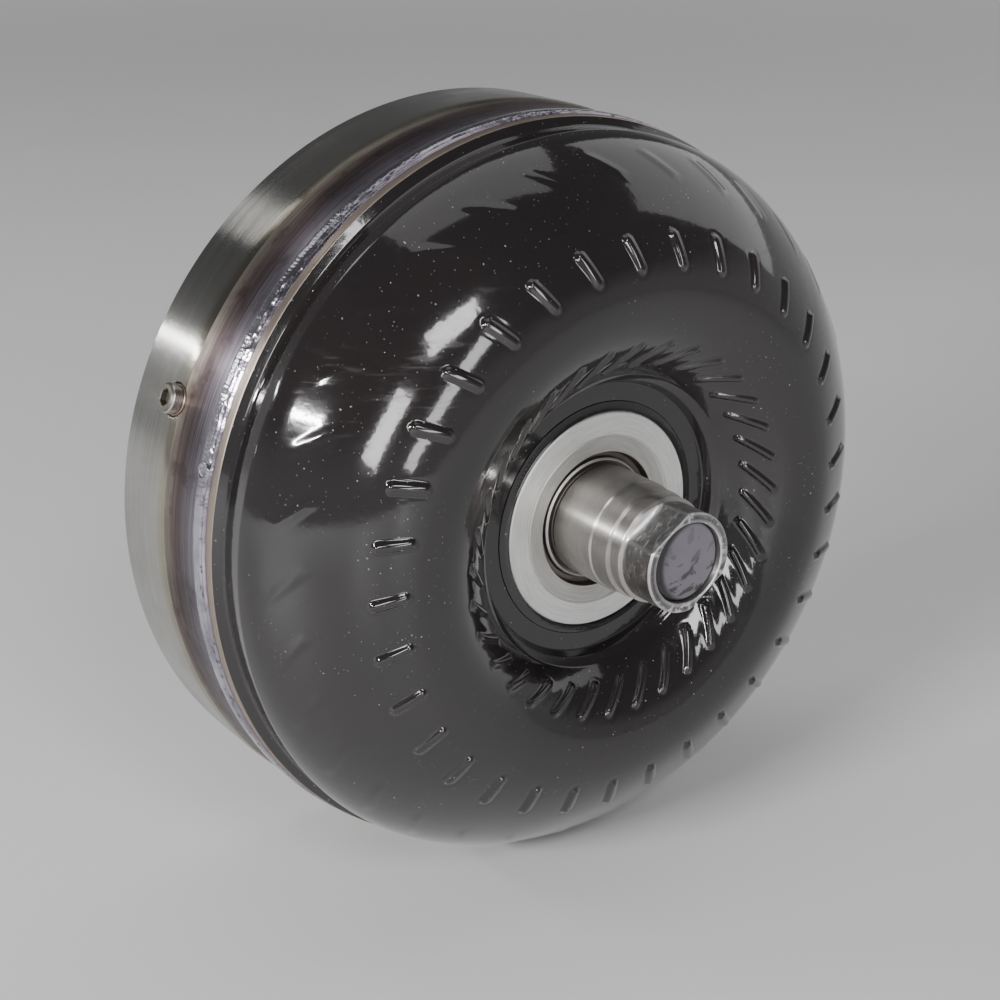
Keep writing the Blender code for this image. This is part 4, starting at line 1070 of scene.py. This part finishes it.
clothe([
    (sheet, ["impeller_blades", "turbine_shell", "turbine_blades", "lockup_piston",
             *numbered("turbine_rivet", 6), *numbered("piston_drive_pin", 4)]),
    (ground, ["front_bearing_race_a", "front_bearing_race_b", "rear_bearing_race_a",
              "rear_bearing_race_b", "turbine_hub", "clutch_inner_race",
              *numbered("clutch_roller", 8)]),
    (dark, ["damper_driven_ring", "damper_plate", "clutch_outer_race",
            *numbered("damper_spring", 6)]),
    (brass, ["front_bearing_needle_cage", "rear_bearing_needle_cage"]),
    (rubber("seal_rubber_black"), ["piston_seal_ring"]),
    (friction_paper("friction_paper_brown"), ["friction_lining"]),
    (moulded("phenolic_brown", (0.20, 0.10, 0.05), (0.12, 0.055, 0.03), 0.38),
     ["stator_thrust_washer"]),
    (cast, ["stator_wheel", "clutch_front_plate", "clutch_rear_plate"]),
])


# ---- studio

TARGET = Vector((0.0, -0.084, 0.0))
VIEW_AZIMUTH = -36.304
VIEW_HEIGHT = 22.039
VIEW_DISTANCE = 0.7508
VIEW_SHIFT = (-0.0174, -0.00365)
LENS = 64.8
SENSOR = 36.0
LAMP_DISTANCE = 3.0             # of every softbox from the object


def direction(azimuth, height):
    """Unit vector from the object; degrees round from -Y towards +X, and up."""
    a, h = math.radians(azimuth), math.radians(height)
    return Vector((math.sin(a) * math.cos(h), -math.cos(a) * math.cos(h), math.sin(h)))


def softbox(name, start, end, width, radiance):
    """Strip light from one direction to another, width in degrees, facing the object."""
    first, last = direction(*start), direction(*end)
    middle = (first + last).normalized()
    lamp = bpy.data.lights.new(name, "AREA")
    lamp.shape = "RECTANGLE"
    lamp.size = LAMP_DISTANCE * (first - last).length
    lamp.size_y = LAMP_DISTANCE * math.radians(width)
    lamp.energy = radiance * math.pi * lamp.size * lamp.size_y
    made = bpy.data.objects.new(name, lamp)
    bpy.context.scene.collection.objects.link(made)
    made.location = TARGET + middle * LAMP_DISTANCE
    across = (first - last).normalized()
    across = (across - middle * across.dot(middle)).normalized()
    up = middle.cross(across)
    made.rotation_euler = Matrix((across, up, middle)).transposed().to_euler()
    made.visible_camera = False


def studio_floor():
    """Large pale disc that fades into the backdrop colour."""
    columns, rings = 96, (0.6, 1.5, 3.5, 8.0)
    points = [(0.0, 0.0, FLOOR_HEIGHT)]
    for ring in rings:
        points += [(*polar(ring, TURN * k / columns), FLOOR_HEIGHT) for k in range(columns)]
    faces = [[0, 1 + k, 1 + (k + 1) % columns] for k in range(columns)]
    for row in range(len(rings) - 1):
        base = 1 + row * columns
        for k in range(columns):
            m = (k + 1) % columns
            faces.append([base + k, base + columns + k, base + columns + m, base + m])
    mesh = bpy.data.meshes.new("studio_floor")
    mesh.from_pydata(points, [], faces)
    mesh.update()
    g = Graph("studio_floor")
    cloud = g.noise(3.0, 3.0)
    colour = g.mix(cloud, (0.70, 0.70, 0.705), (0.74, 0.74, 0.74))
    square = g.plus(g.times(g.x, g.x), g.times(g.y, g.y))
    far = g.step(g.calc("SQRT", square), 1.0, 4.5)
    g.finish(colour=g.mix(far, colour, (0.2, 0.2, 0.2)), specular=0.35,
             rough=g.fit(cloud, 0.42, 0.5), glow=(1.0, 1.0, 1.0), glow_strength=g.times(far, 0.36))
    mesh.materials.append(g.material)
    made = bpy.data.objects.new("studio_floor", mesh)
    bpy.context.scene.collection.objects.link(made)


def studio_world():
    """Grey backdrop, lighter at the horizon than overhead."""
    world = bpy.data.worlds.new("studio")
    bpy.context.scene.world = world
    world.use_nodes = True
    tree = world.node_tree
    back = tree.nodes["Background"]
    place = tree.nodes.new("ShaderNodeTexCoord")
    split = tree.nodes.new("ShaderNodeSeparateXYZ")
    tree.links.new(place.outputs["Generated"], split.inputs[0])
    ramp = tree.nodes.new("ShaderNodeValToRGB")
    tree.links.new(split.outputs[2], ramp.inputs[0])
    set_stops(ramp, ((0.0, (0.46, 0.46, 0.47)), (0.12, (0.44, 0.44, 0.45)),
                     (0.34, (0.13, 0.13, 0.135)), (1.0, (0.07, 0.07, 0.075))))
    tree.links.new(ramp.outputs[0], back.inputs[0])
    back.inputs[1].default_value = 0.9


def camera():
    """The photo's own camera, from the fit to its outlines."""
    back = direction(VIEW_AZIMUTH, VIEW_HEIGHT)
    right = direction(VIEW_AZIMUTH + 90, 0)
    up = direction(VIEW_AZIMUTH, VIEW_HEIGHT + 90)
    made = bpy.data.objects.new("camera", bpy.data.cameras.new("camera"))
    made.data.lens = LENS
    made.data.sensor_width = SENSOR
    made.data.clip_start, made.data.clip_end = 0.01, 50.0
    made.location = TARGET + right * VIEW_SHIFT[0] + up * VIEW_SHIFT[1] + back * VIEW_DISTANCE
    made.rotation_euler = Matrix((right, up, back)).transposed().to_euler()
    bpy.context.scene.collection.objects.link(made)
    bpy.context.scene.camera = made


studio_floor()
studio_world()
softbox("window_high", (-26, 37), (-7, 42), 9, 15.0)
softbox("window_low", (-31, 26), (-41, 10), 8, 15.0)
softbox("window_near", (1, 29), (-21, 3), 7, 9.0)
softbox("rim_line", (-120, 22.7), (-152, 13.1), 0.6, 110.0)
softbox("rim_faint", (-122, 8.2), (-134, 7.0), 0.5, 12.0)
softbox("rim_window", (-148, 54), (-167.5, 29.5), 7.5, 2.0)
softbox("hub_line", (-89, 23.7), (-66, 21.9), 1.8, 260.0)
softbox("side", (70, 25), (120, 35), 40, 0.9)
softbox("overhead", (-120, 68), (100, 62), 40, 0.9)
camera()
